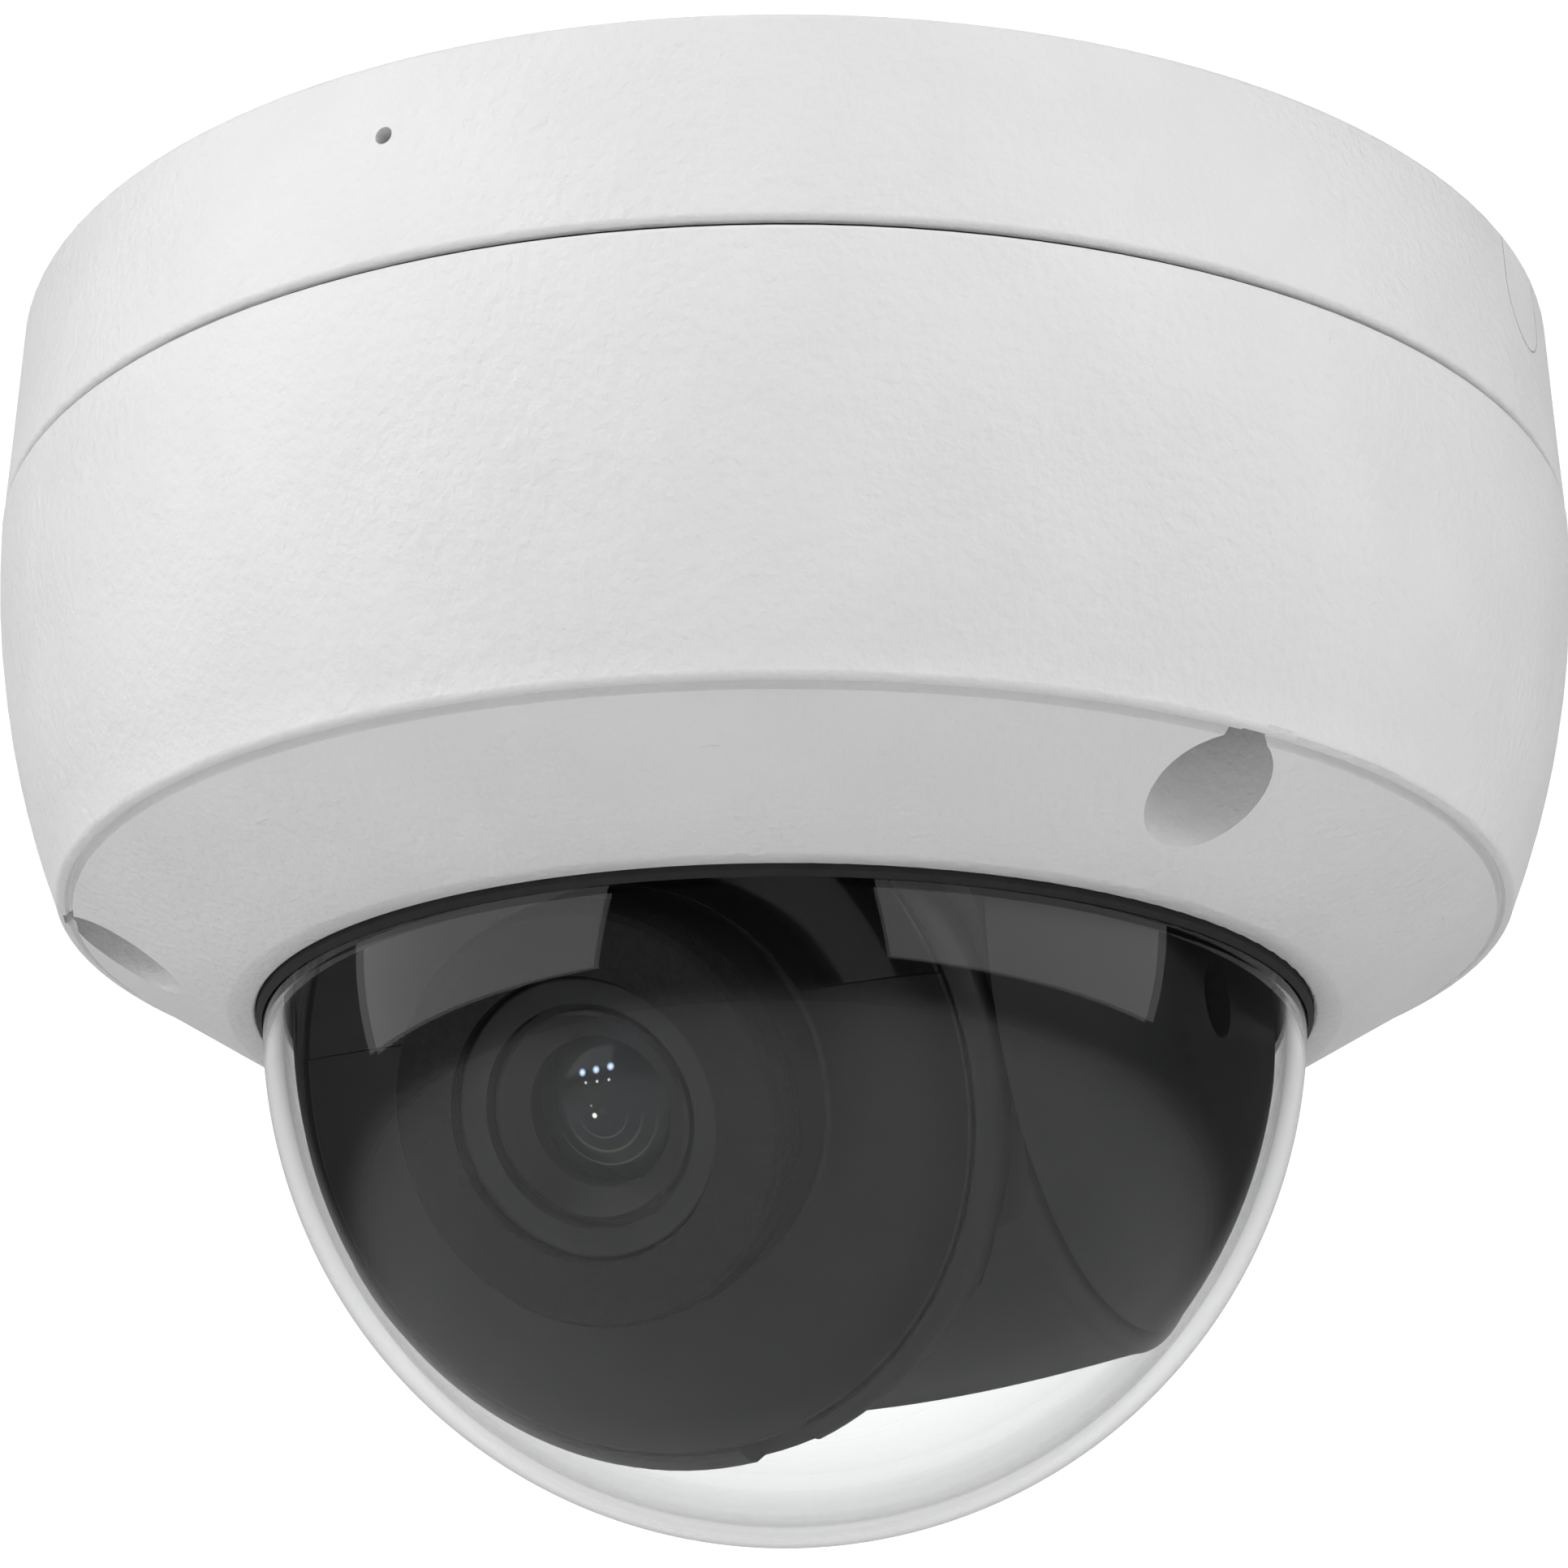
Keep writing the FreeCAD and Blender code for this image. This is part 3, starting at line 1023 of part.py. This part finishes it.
def dome_pieces():
    """The clear dome, the seal under its flange, and the ring that clamps it."""
    inner = "dome_radius - dome_wall"
    diagonal = "sin(45)"
    flange_under = f"{SEAL_TOP} + fit"
    flange_top = f"{SEAL_TOP} + fit + flange_thick"
    keep("dome_bubble", turned([
        ("0", "-dome_centre_depth - dome_radius"),
        (f"dome_radius * {diagonal}", f"-dome_centre_depth - dome_radius * {diagonal}", "via"),
        ("dome_radius", "-dome_centre_depth"),
        ("dome_radius", flange_under),
        ("flange_radius", flange_under),
        ("flange_radius", flange_top),
        (inner, flange_top),
        (inner, "-dome_centre_depth"),
        (f"({inner}) * {diagonal}", f"-dome_centre_depth - ({inner}) * {diagonal}", "via"),
        ("0", f"-dome_centre_depth - ({inner})"),
    ]))
    keep("dome_seal", turned([
        ("dome_radius + fit", SEAL_TOP),
        ("dome_radius + fit", "-opening_depth - seal_lip"),
        ("opening_radius - fit", "-opening_depth - seal_lip / 2"),
        ("opening_radius - fit", "-dome_ledge_depth + fit"),
        ("dome_ledge_radius - gap", "-dome_ledge_depth + fit"),
        ("dome_ledge_radius - gap", SEAL_TOP),
    ]))
    pieces = [cylinder("retainer_outer", RETAINER_UNDER, RETAINER_TOP)]
    holes = [cylinder("retainer_inner", f"-{FAR}", "0")]
    screws = []
    for side in COVER_SCREW_SIDES:
        for step in (40, 80):
            x, y = around(f"{side} + {step}", "retainer_circle")
            pieces.append(cylinder("retainer_ear", RETAINER_UNDER, RETAINER_TOP, x, y))
            holes.append(cylinder("retainer_screw_radius + gap", f"-{FAR}", "0", x, y))
            screws.append(retainer_screw(x, y))
    keep("dome_retainer", cut(fuse(*pieces), *holes))
    keep("retainer_screws", group(*screws))


def retainer_screw(x, y):
    """A screw driven downwards into the cover, with a socket in its head."""
    top = f"{RETAINER_TOP} + retainer_screw_high"
    head = cylinder("retainer_screw_head", RETAINER_TOP, top, x, y)
    shank = cylinder("retainer_screw_radius", "-retainer_screw_tip", f"{RETAINER_TOP} + 0.2", x, y)
    return cut(fuse(head, shank), hexagon("1.5", f"{top} - 0.9", top, x, y))


def cover_screws():
    """The three captive screws, with a pin inside each socket, and the clips that hold them."""
    clips = []
    for letter, side in zip("abc", COVER_SCREW_SIDES):
        x, y = around(side, "cover_screw_circle")
        seat = "-recess_depth - fit"
        body = screw("cover_screw_head", seat, "cover_screw_head_high", "cover_screw_radius",
                     "-cover_screw_tip", x, y, "cover_screw_socket")
        security_pin = cylinder("security_pin", f"{seat} - cover_screw_head_high + 0.3", f"{seat} - 1", x, y)
        keep(f"cover_screw_{letter}", fuse(body, security_pin))
        clip_low = "-recess_depth + seat_thick + gap"
        clips.append(ring("cover_screw_radius + fit", "screw_clip_radius", clip_low,
                          f"{clip_low} + screw_clip_thick", x, y))
    keep("screw_clips", group(*clips))


def check_document():
    """Stop if any object failed, or any piece isn't a sound solid."""
    for thing in doc.Objects:
        if "Invalid" in thing.State or "Error" in thing.State:
            raise RuntimeError(f"{thing.Label} failed: {thing.State}")
    for node, thing in nodes.items():
        shape = thing.Shape
        if shape.isNull() or not shape.isValid() or not shape.Solids:
            raise RuntimeError(f"{node} has no sound solid")


def write_parts():
    """Write one STEP file for each piece."""
    os.makedirs("parts", exist_ok=True)
    for node, thing in nodes.items():
        thing.Shape.exportStep(os.path.join("parts", node + ".step"))


fill_sheet()
mounting_base()
base_gasket()
side_plug()
cable_pieces()
main_board()
board_parts()
card_pieces()
reset_pieces()
microphone_pieces()
standoffs_and_screws()
bearing_plate()
pan_fasteners()
yoke()
cheeks()
pivot_pieces()
head_halves()
rim_ring()
front_cap_and_window()
lamps()
foam_collar()
lens()
sensor_stack()
sensor_cable()
cover_shell()
dome_pieces()
cover_screws()
doc.recompute()
check_document()
write_parts()
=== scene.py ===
"""Looks of the dome camera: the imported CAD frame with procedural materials, a finer dome and a studio."""
import json
import math

import bmesh
import bpy
from mathutils import Matrix, Vector

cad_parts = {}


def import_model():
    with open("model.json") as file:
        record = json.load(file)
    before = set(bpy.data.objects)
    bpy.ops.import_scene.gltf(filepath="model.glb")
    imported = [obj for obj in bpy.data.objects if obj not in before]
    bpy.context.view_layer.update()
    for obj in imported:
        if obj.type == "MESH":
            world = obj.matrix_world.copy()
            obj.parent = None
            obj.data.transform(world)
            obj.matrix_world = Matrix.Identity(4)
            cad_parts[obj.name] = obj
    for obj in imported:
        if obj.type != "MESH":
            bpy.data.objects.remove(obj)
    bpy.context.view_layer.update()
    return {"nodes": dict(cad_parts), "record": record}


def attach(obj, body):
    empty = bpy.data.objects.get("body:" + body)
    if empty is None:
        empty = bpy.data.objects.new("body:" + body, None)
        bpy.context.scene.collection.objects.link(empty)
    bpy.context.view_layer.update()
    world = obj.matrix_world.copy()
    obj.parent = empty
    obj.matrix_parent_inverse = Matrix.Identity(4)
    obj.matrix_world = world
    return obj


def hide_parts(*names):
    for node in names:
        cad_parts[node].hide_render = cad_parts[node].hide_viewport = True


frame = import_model()

NODES = frame["nodes"]
BODIES = {node: body for body, members in frame["record"]["behaviour"]["bodies"].items() for node in members}
SLOTS = {part["node"]: part["material_slot"] for part in frame["record"]["subparts"]}

MM = 0.001
BALL_DEPTH = -52.44          # where the ball's centre hangs below the ceiling face
BALL_CENTRE = Vector((0, 0, BALL_DEPTH * MM))
PAN_REST, TILT_REST = -25.8, 25.8
SMOOTH_ANGLE = math.radians(24)
WHITE = (1, 1, 1, 1)


# ---------------------------------------------------------------- node helpers

def grey(value):
    """A neutral colour."""
    return (value, value, value)


def feed(tree, socket, value):
    """Sets a socket to a value, or links another socket to it."""
    if isinstance(value, bpy.types.NodeSocket):
        tree.links.new(value, socket)
    else:
        socket.default_value = value


def arithmetic(tree, operation, *values):
    """The result of a sum on numbers or sockets."""
    node = tree.nodes.new("ShaderNodeMath")
    node.operation = operation
    for socket, value in zip(node.inputs, values):
        feed(tree, socket, value)
    return node.outputs[0]


def vector_math(tree, operation, *values):
    """The node of a sum on vectors or sockets."""
    node = tree.nodes.new("ShaderNodeVectorMath")
    node.operation = operation
    for socket, value in zip(node.inputs, values):
        feed(tree, socket, value)
    return node


def spread(tree, value, low, high, start=0.0, end=1.0, smooth=False):
    """A value mapped from the range start to end onto the range low to high."""
    mapped = tree.nodes.new("ShaderNodeMapRange")
    if smooth:
        mapped.interpolation_type = "SMOOTHSTEP"
    limits = {"From Min": start, "From Max": end, "To Min": low, "To Max": high}
    for name, limit in limits.items():
        feed(tree, mapped.inputs[name], limit)
    tree.links.new(value, mapped.inputs["Value"])
    return mapped.outputs["Result"]


def noise(tree, place, scale, detail=2.0, roughness=0.5):
    """A noise pattern at a scale in waves per metre."""
    pattern = tree.nodes.new("ShaderNodeTexNoise")
    pattern.inputs["Scale"].default_value = scale
    pattern.inputs["Detail"].default_value = detail
    pattern.inputs["Roughness"].default_value = roughness
    tree.links.new(place, pattern.inputs["Vector"])
    return pattern.outputs["Fac"]


def ramp(tree, value, low, high, low_at=0.3, high_at=0.7):
    """A blend between two colours by a pattern."""
    blend = tree.nodes.new("ShaderNodeValToRGB")
    first, last = blend.color_ramp.elements
    first.color, first.position = (*low, 1), low_at
    last.color, last.position = (*high, 1), high_at
    tree.links.new(value, blend.inputs["Fac"])
    return blend.outputs["Color"]


def bump(tree, shader, value, height):
    """Relief of a height in metres from a pattern."""
    relief = tree.nodes.new("ShaderNodeBump")
    relief.inputs["Strength"].default_value = 1.0
    relief.inputs["Distance"].default_value = height
    tree.links.new(value, relief.inputs["Height"])
    tree.links.new(relief.outputs["Normal"], shader.inputs["Normal"])


def mixed(tree, share, first, second):
    """A blend of two shaders."""
    mix = tree.nodes.new("ShaderNodeMixShader")
    for socket, value in zip(mix.inputs, (share, first, second)):
        tree.links.new(value, socket)
    return mix.outputs[0]


# ---------------------------------------------------------------- materials

def material(name):
    """A new node material with its shader, its node tree and the place a pattern is read from."""
    made = bpy.data.materials.new(name)
    made.use_nodes = True
    tree = made.node_tree
    shader = tree.nodes["Principled BSDF"]
    place = tree.nodes.new("ShaderNodeTexCoord").outputs["Object"]
    return made, tree, shader, place


def surface(name, dark, light, rough, scale, grain=0.0, metal=0.0):
    """A surface with a slightly uneven colour and roughness, and some grain."""
    made, tree, shader, place = material(name)
    pattern = noise(tree, place, scale)
    tree.links.new(ramp(tree, pattern, dark, light), shader.inputs["Base Color"])
    tree.links.new(spread(tree, pattern, rough * 0.93, rough * 1.07), shader.inputs["Roughness"])
    shader.inputs["Metallic"].default_value = metal
    if grain:
        bump(tree, shader, noise(tree, place, scale * 2, 3.0), grain)
    return made


def white_enamel():
    """Powder coat: off-white with a fine orange-peel relief."""
    made, tree, shader, place = material("white_enamel")
    tone = noise(tree, place, 90)
    tree.links.new(ramp(tree, tone, grey(0.74), grey(0.77)), shader.inputs["Base Color"])
    tree.links.new(spread(tree, tone, 0.40, 0.45), shader.inputs["Roughness"])
    bump(tree, shader, noise(tree, place, 1100, 2.5, 0.55), 0.00016)
    return made


def clear_dome():
    """Clear plastic that lets the lamps' light through, with a faint unevenness."""
    made, tree, shader, place = material("clear_dome")
    shader.inputs["Base Color"].default_value = (0.995, 1.0, 1.0, 1)
    shader.inputs["Transmission Weight"].default_value = 1.0
    shader.inputs["IOR"].default_value = 1.5
    tree.links.new(spread(tree, noise(tree, place, 20), 0.0, 0.01), shader.inputs["Roughness"])
    passing = tree.nodes.new("ShaderNodeBsdfTransparent")
    passing.inputs["Color"].default_value = (0.93, 0.94, 0.94, 1)
    is_shadow = tree.nodes.new("ShaderNodeLightPath").outputs["Is Shadow Ray"]
    both = mixed(tree, is_shadow, shader.outputs["BSDF"], passing.outputs["BSDF"])
    tree.links.new(both, tree.nodes["Material Output"].inputs["Surface"])
    return made


# Painted reflections drawn as emission in the lens glass, standing for lamp glints off its inner faces:
# places right and up of the lens axis in millimetres, radius, colour and strength
COOL, WARM, GREEN, AMBER = (0.55, 0.72, 1.0), (1.0, 0.96, 0.85), (0.45, 0.9, 0.55), (1.0, 0.85, 0.6)
LARGE_PAINTED_GLINTS = [(-1.1 + 1.1 * step, 2.75 + 0.08 * step, 0.30, COOL, 1.95) for step in range(3)]
SMALL_PAINTED_GLINTS = [(-0.9 + 0.9 * step, 2.05, 0.13, grey(1.0), 1.2) for step in range(3)]
NEAR_PAINTED_GLINTS = [(-0.6, -0.25, 0.22, WARM, 2.4), (-0.72, 0.45, 0.10, GREEN, 0.75)]
# Faint painted reflection arcs in the lower half of the glass, drawn as emission: radius, half width and
# strength
PAINTED_ARCS = [(1.9, 0.10, 0.10), (2.9, 0.14, 0.07), (3.9, 0.12, 0.05)]
PAINTED_ARC_GAIN = -0.3              # how fast the arcs brighten below the lens axis, per millimetre


def lens_axes():
    """The lens's right and up directions at rest."""
    turn = Matrix.Rotation(math.radians(PAN_REST), 3, "Z") @ Matrix.Rotation(math.radians(TILT_REST), 3, "X")
    return turn @ Vector((1, 0, 0)), turn @ Vector((0, 0, 1))


def across_lens(tree, place, axis):
    """How far a point lies from the lens axis in one direction, in millimetres."""
    along = vector_math(tree, "DOT_PRODUCT", place, axis / MM)
    return arithmetic(tree, "SUBTRACT", along.outputs["Value"], BALL_CENTRE.dot(axis / MM))


def band(tree, value, middle, half, strength):
    """Strength where a value is at a middle, fading to nothing at half the band's width away."""
    offset = arithmetic(tree, "ABSOLUTE", arithmetic(tree, "SUBTRACT", value, middle))
    share = arithmetic(tree, "SUBTRACT", 1.0, arithmetic(tree, "DIVIDE", offset, half))
    return arithmetic(tree, "MULTIPLY", arithmetic(tree, "MAXIMUM", share, 0.0), strength)


def painted_lens_reflections(tree, place):
    """The colour of the painted reflections in the glass: all glints and arcs, drawn as emission."""
    right, up = (across_lens(tree, place, axis) for axis in lens_axes())

    def distance(spot_right, spot_up):
        offsets = [arithmetic(tree, "SUBTRACT", right, spot_right), arithmetic(tree, "SUBTRACT", up, spot_up)]
        squares = [arithmetic(tree, "MULTIPLY", offset, offset) for offset in offsets]
        return arithmetic(tree, "SQRT", arithmetic(tree, "ADD", *squares))

    lights = [(band(tree, distance(spot_right, spot_up), 0.0, radius, strength), colour)
              for spot_right, spot_up, radius, colour, strength in LARGE_PAINTED_GLINTS + SMALL_PAINTED_GLINTS + NEAR_PAINTED_GLINTS]
    low_half = arithmetic(tree, "MAXIMUM", arithmetic(tree, "MULTIPLY", up, PAINTED_ARC_GAIN), 0.0)
    for radius, half, strength in PAINTED_ARCS:
        ring = band(tree, distance(0, 0), radius, half, strength)
        lights.append((arithmetic(tree, "MULTIPLY", ring, low_half), AMBER))
    total = grey(0)
    for amount, colour in lights:
        tinted = vector_math(tree, "SCALE", colour)
        tree.links.new(amount, tinted.inputs["Scale"])
        total = vector_math(tree, "ADD", total, tinted.outputs[0]).outputs[0]
    return total


def lens_glass():
    """Coated glass: dark and glossy, with a blue and green cast, and painted reflections: glints and arcs drawn
    as emission.
    """
    made, tree, shader, place = material("lens_glass")
    tint = ramp(tree, noise(tree, place, 150), (0.010, 0.012, 0.016), (0.016, 0.020, 0.020))
    tree.links.new(tint, shader.inputs["Base Color"])
    shader.inputs["Roughness"].default_value = 0.04
    # The emission is painted reflection: glints and arcs of lamps drawn into the glass, which is no lamp.
    tree.links.new(painted_lens_reflections(tree, place), shader.inputs["Emission Color"])
    shader.inputs["Emission Strength"].default_value = 1.0
    shader.inputs["Specular IOR Level"].default_value = 0.3
    shader.inputs["Coat Weight"].default_value = 0.2
    shader.inputs["Coat Tint"].default_value = (0.75, 0.85, 1.0, 1)
    return made


# Plain surfaces: darkest and lightest colour, roughness, waves per metre, grain in metres and metal
SURFACES = {
    "black_rubber": (grey(0.016), grey(0.022), 0.6, 700, 0.00002),
    "black_plastic": (grey(0.012), grey(0.015), 0.42, 300),
    "lamp_window": (grey(0.005), (0.007, 0.006, 0.007), 0.10, 120),
    "foam": (grey(0.006), grey(0.014), 0.7, 1400, 0.00012),
    "lens_black": ((0.013, 0.013, 0.014), (0.017, 0.017, 0.018), 0.38, 300),
    "lamp_glass": ((0.42, 0.42, 0.45), (0.52, 0.52, 0.55), 0.10, 300),
    "board_green": ((0.010, 0.10, 0.035), (0.016, 0.15, 0.055), 0.32, 500),
    "chip_black": ((0.016, 0.016, 0.017), (0.024, 0.024, 0.025), 0.5, 900, 0.00001),
    "heat_pad": ((0.40, 0.45, 0.55), (0.48, 0.53, 0.63), 0.75, 500),
    "white_plastic": ((0.78, 0.78, 0.74), (0.84, 0.84, 0.80), 0.45, 200),
    "cable_black": (grey(0.015), grey(0.022), 0.55, 400, 0.00002),
    "wire_insulation": ((0.42, 0.13, 0.05), (0.55, 0.20, 0.07), 0.4, 150),
    "bright_steel": (grey(0.56), grey(0.66), 0.28, 600, 0.00001, 1.0),
    "brass": ((0.66, 0.48, 0.20), (0.78, 0.58, 0.27), 0.3, 500, 0.00001, 1.0),
    "card_black": ((0.020, 0.020, 0.022), (0.030, 0.030, 0.032), 0.4, 300),
    "switch_black": (grey(0.03), grey(0.042), 0.35, 300),
    "button_white": ((0.80, 0.80, 0.78), (0.86, 0.86, 0.83), 0.35, 200),
    "aluminium": ((0.66, 0.67, 0.69), (0.74, 0.75, 0.77), 0.36, 800, 0.00001, 1.0),
}
MATERIALS = {"white_enamel": white_enamel(), "clear_dome": clear_dome(), "lens_glass": lens_glass()}
MATERIALS |= {name: surface(name, *looks) for name, looks in SURFACES.items()}


# ---------------------------------------------------------------- soft shading on the CAD nodes

WELD_DISTANCE = 1e-6         # joins the corners that neighbouring faces share


def shading_group():
    """Nodes that join the mesh's corners and shade it smooth except over sharp edges."""
    group = bpy.data.node_groups.new("soft_shading", "GeometryNodeTree")
    for way in ("INPUT", "OUTPUT"):
        group.interface.new_socket("Geometry", in_out=way, socket_type="NodeSocketGeometry")
    start = group.nodes.new("NodeGroupInput")
    end = group.nodes.new("NodeGroupOutput")
    weld = group.nodes.new("GeometryNodeMergeByDistance")
    weld.inputs["Distance"].default_value = WELD_DISTANCE
    faces = group.nodes.new("GeometryNodeSetShadeSmooth")
    edges = group.nodes.new("GeometryNodeSetShadeSmooth")
    edges.domain = "EDGE"
    edges.inputs["Shade Smooth"].default_value = False
    angle = group.nodes.new("GeometryNodeInputMeshEdgeAngle")
    sharp = group.nodes.new("FunctionNodeCompare")
    sharp.data_type, sharp.operation = "FLOAT", "GREATER_THAN"
    sharp.inputs["B"].default_value = SMOOTH_ANGLE
    group.links.new(angle.outputs["Unsigned Angle"], sharp.inputs["A"])
    group.links.new(sharp.outputs["Result"], edges.inputs["Selection"])
    for source, target in ((start, weld), (weld, faces), (faces, edges), (edges, end)):
        group.links.new(source.outputs[0], target.inputs[0])
    return group


def dress_nodes():
    """Gives every CAD node its material and soft shading."""
    shading = shading_group()
    for name, node in NODES.items():
        node.data.materials.clear()
        node.data.materials.append(MATERIALS[SLOTS[name]])
        node.modifiers.new("soft_shading", "NODES").node_group = shading


# ---------------------------------------------------------------- the finer dome

DOME_RADIUS, DOME_WALL = 39.76, 1.5
FLANGE_RADIUS, FLANGE_THICKNESS = 44.3, 2.1
FLANGE_UNDERSIDE = -49.25
QUARTER_STEPS = 72           # facets on a quarter of the dome's outline
TURN_STEPS = 256             # facets round the dome


def lathe(name, profile, node):
    """A closed outline of (radius, height) in millimetres turned about Z, standing for a CAD node."""
    mesh = bmesh.new()
    circle = [math.tau * step / TURN_STEPS for step in range(TURN_STEPS)]
    rows = []
    for radius, height in profile:
        angles = circle if radius > 0 else circle[:1]
        rows.append([mesh.verts.new((radius * MM * math.cos(angle), radius * MM * math.sin(angle), height * MM))
                     for angle in angles])
    for row, above in zip(rows, rows[1:] + rows[:1]):
        for step in range(TURN_STEPS):
            turns = [(row, step), (row, step + 1), (above, step + 1), (above, step)]
            corners = list(dict.fromkeys(ring[turn % len(ring)] for ring, turn in turns))
            if len(corners) > 2:
                mesh.faces.new(corners)
    bmesh.ops.recalc_face_normals(mesh, faces=mesh.faces)
    data = bpy.data.meshes.new(name)
    for face in mesh.faces:
        face.smooth = True
    for edge in mesh.edges:
        edge.smooth = edge.calc_face_angle(0) < SMOOTH_ANGLE
    mesh.to_mesh(data)
    mesh.free()
    piece = bpy.data.objects.new(name, data)
    bpy.context.scene.collection.objects.link(piece)
    data.materials.append(MATERIALS[SLOTS[node]])
    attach(piece, BODIES[node])
    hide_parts(node)


def quarter(radius):
    """Points on a dome's outline from its lowest point up to the level of the ball's centre."""
    angles = [math.radians(90 * step / QUARTER_STEPS) for step in range(1, QUARTER_STEPS + 1)]
    rest = [(radius * math.sin(angle), BALL_DEPTH - radius * math.cos(angle)) for angle in angles]
    return [(0, BALL_DEPTH - radius)] + rest


def dome():
    """The clear dome with its flange, as a fine turned shell."""
    inner = DOME_RADIUS - DOME_WALL
    flange_top = FLANGE_UNDERSIDE + FLANGE_THICKNESS
    flange = [(DOME_RADIUS, FLANGE_UNDERSIDE), (FLANGE_RADIUS, FLANGE_UNDERSIDE),
              (FLANGE_RADIUS, flange_top), (inner, flange_top)]
    lathe("dome_bubble_clear", quarter(DOME_RADIUS) + flange + quarter(inner)[::-1], "dome_bubble")


# ---------------------------------------------------------------- camera and studio

EYE_DISTANCE, EYE_DEPTH = 292.25, 137.4    # in front of the cover's axis and below the ceiling face
EYE_PITCH = 19.64                          # degrees above the level
EYE_SENSOR, EYE_LENS = 36, 90.84
EYE_SHIFT = -0.00062                       # sideways, as a share of the sensor's width
BACKDROP = 1.2                             # bright enough to show white through the clear dome
FLOOR_HEIGHT, FLOOR_HALF = -0.36, 6.0


def camera():
    """Stands in front of and below the cover, looking up at it."""
    data = bpy.data.cameras.new("camera")
    data.sensor_width, data.lens = EYE_SENSOR, EYE_LENS
    data.shift_x = EYE_SHIFT
    eye = bpy.data.objects.new("camera", data)
    eye.location = (0, -EYE_DISTANCE * MM, -EYE_DEPTH * MM)
    eye.rotation_euler = (math.radians(90 + EYE_PITCH), 0, 0)
    bpy.context.scene.collection.objects.link(eye)
    bpy.context.scene.camera = eye


def panel(name, side, lift, size, power, mirrored=True, distance=1.5):
    """A soft lamp panel that faces the ball, from degrees round it and degrees above the level.

    A panel that isn't mirrored lights the object but shows in none of its glossy or clear surfaces.
    """
    data = bpy.data.lights.new(name, "AREA")
    data.shape, data.energy = "RECTANGLE", power
    data.size, data.size_y = size
    lamp = bpy.data.objects.new(name, data)
    around, above = math.radians(side), math.radians(lift)
    level = math.cos(above)
    away = Vector((math.sin(around) * level, -math.cos(around) * level, math.sin(above)))
    lamp.location = BALL_CENTRE + away * distance
    lamp.rotation_euler = away.to_track_quat("Z", "Y").to_euler()
    lamp.visible_glossy = mirrored
    lamp.visible_transmission = mirrored
    bpy.context.scene.collection.objects.link(lamp)


def background(tree, strength):
    """A white background of a strength."""
    made = tree.nodes.new("ShaderNodeBackground")
    made.inputs["Color"].default_value = WHITE
    feed(tree, made.inputs["Strength"], strength)
    return made.outputs[0]


def world():
    """White where it is seen straight or through the dome, and dim in reflections.

    Rays that mirror inside the dome's own wall still see a bright spot behind the object.
    """
    made = bpy.data.worlds.new("studio")
    bpy.context.scene.world = made
    made.use_nodes = True
    tree = made.node_tree
    tree.nodes.clear()
    out = tree.nodes.new("ShaderNodeOutputWorld")
    path = tree.nodes.new("ShaderNodeLightPath").outputs
    direction = tree.nodes.new("ShaderNodeSeparateXYZ")
    tree.links.new(tree.nodes.new("ShaderNodeTexCoord").outputs["Generated"], direction.inputs[0])

    no_paint = arithmetic(tree, "LESS_THAN", path["Diffuse Depth"], 0.5)
    no_mirror = arithmetic(tree, "LESS_THAN", path["Glossy Depth"], 0.5)
    entered = arithmetic(tree, "GREATER_THAN", path["Transmission Depth"], 0.5)
    not_inside = arithmetic(tree, "LESS_THAN", path["Transmission Depth"], 3.5)
    in_wall = arithmetic(tree, "MULTIPLY", no_paint, not_inside)
    share = arithmetic(tree, "ADD", arithmetic(tree, "MULTIPLY", entered, 0.55), 0.45)
    brightest = arithmetic(tree, "ADD", arithmetic(tree, "MULTIPLY", in_wall, share), 0.05)
    behind = spread(tree, direction.outputs["Y"], 0.03, brightest, 0.7, 0.97, True)
    straight = arithmetic(tree, "MULTIPLY", no_paint, no_mirror)
    both = mixed(tree, straight, background(tree, behind), background(tree, BACKDROP))
    tree.links.new(both, out.inputs["Surface"])


def floor():
    """A pale floor well below, glowing softly towards the middle and fading out in reflections."""
    data = bpy.data.meshes.new("floor")
    mesh = bmesh.new()
    corners = [(-FLOOR_HALF, -FLOOR_HALF), (FLOOR_HALF, -FLOOR_HALF),
               (FLOOR_HALF, FLOOR_HALF), (-FLOOR_HALF, FLOOR_HALF)]
    mesh.faces.new([mesh.verts.new((x, y, FLOOR_HEIGHT)) for x, y in corners])
    mesh.to_mesh(data)
    mesh.free()
    ground = bpy.data.objects.new("floor", data)
    bpy.context.scene.collection.objects.link(ground)
    made, tree, shader, place = material("floor")
    shader.inputs["Roughness"].default_value = 0.8
    tone = ramp(tree, noise(tree, place, 3), grey(0.80), grey(0.82))
    tree.links.new(tone, shader.inputs["Base Color"])
    far = vector_math(tree, "LENGTH", place).outputs["Value"]
    shader.inputs["Emission Color"].default_value = WHITE
    tree.links.new(spread(tree, far, 0.10, 0.02, 0.3, 2.5), shader.inputs["Emission Strength"])
    thin = spread(tree, far, 0.5, 1.0, 0.3, 3.0, True)
    is_glossy = tree.nodes.new("ShaderNodeLightPath").outputs["Is Glossy Ray"]
    missing = arithmetic(tree, "MULTIPLY", thin, is_glossy)
    tree.links.new(arithmetic(tree, "SUBTRACT", 1.0, missing), shader.inputs["Alpha"])
    data.materials.append(made)


def studio():
    """The room: a tall panel and a softer one at each side, one in front, a floor and the world."""
    world()
    floor()
    panel("left_panel", -70, 22, (1.9, 1.35), 6.2)
    panel("left_soft", -58, 32, (1.6, 1.0), 16.5, False)
    panel("right_panel", 53, 22, (2.0, 1.35), 6.2)
    panel("right_soft", 60, 32, (1.6, 1.0), 12.5, False)
    panel("front_soft", 0, -25, (1.2, 0.8), 1.5, False, 1.3)
    bpy.context.scene.view_settings.view_transform = "Standard"


dress_nodes()
dome()
camera()
studio()
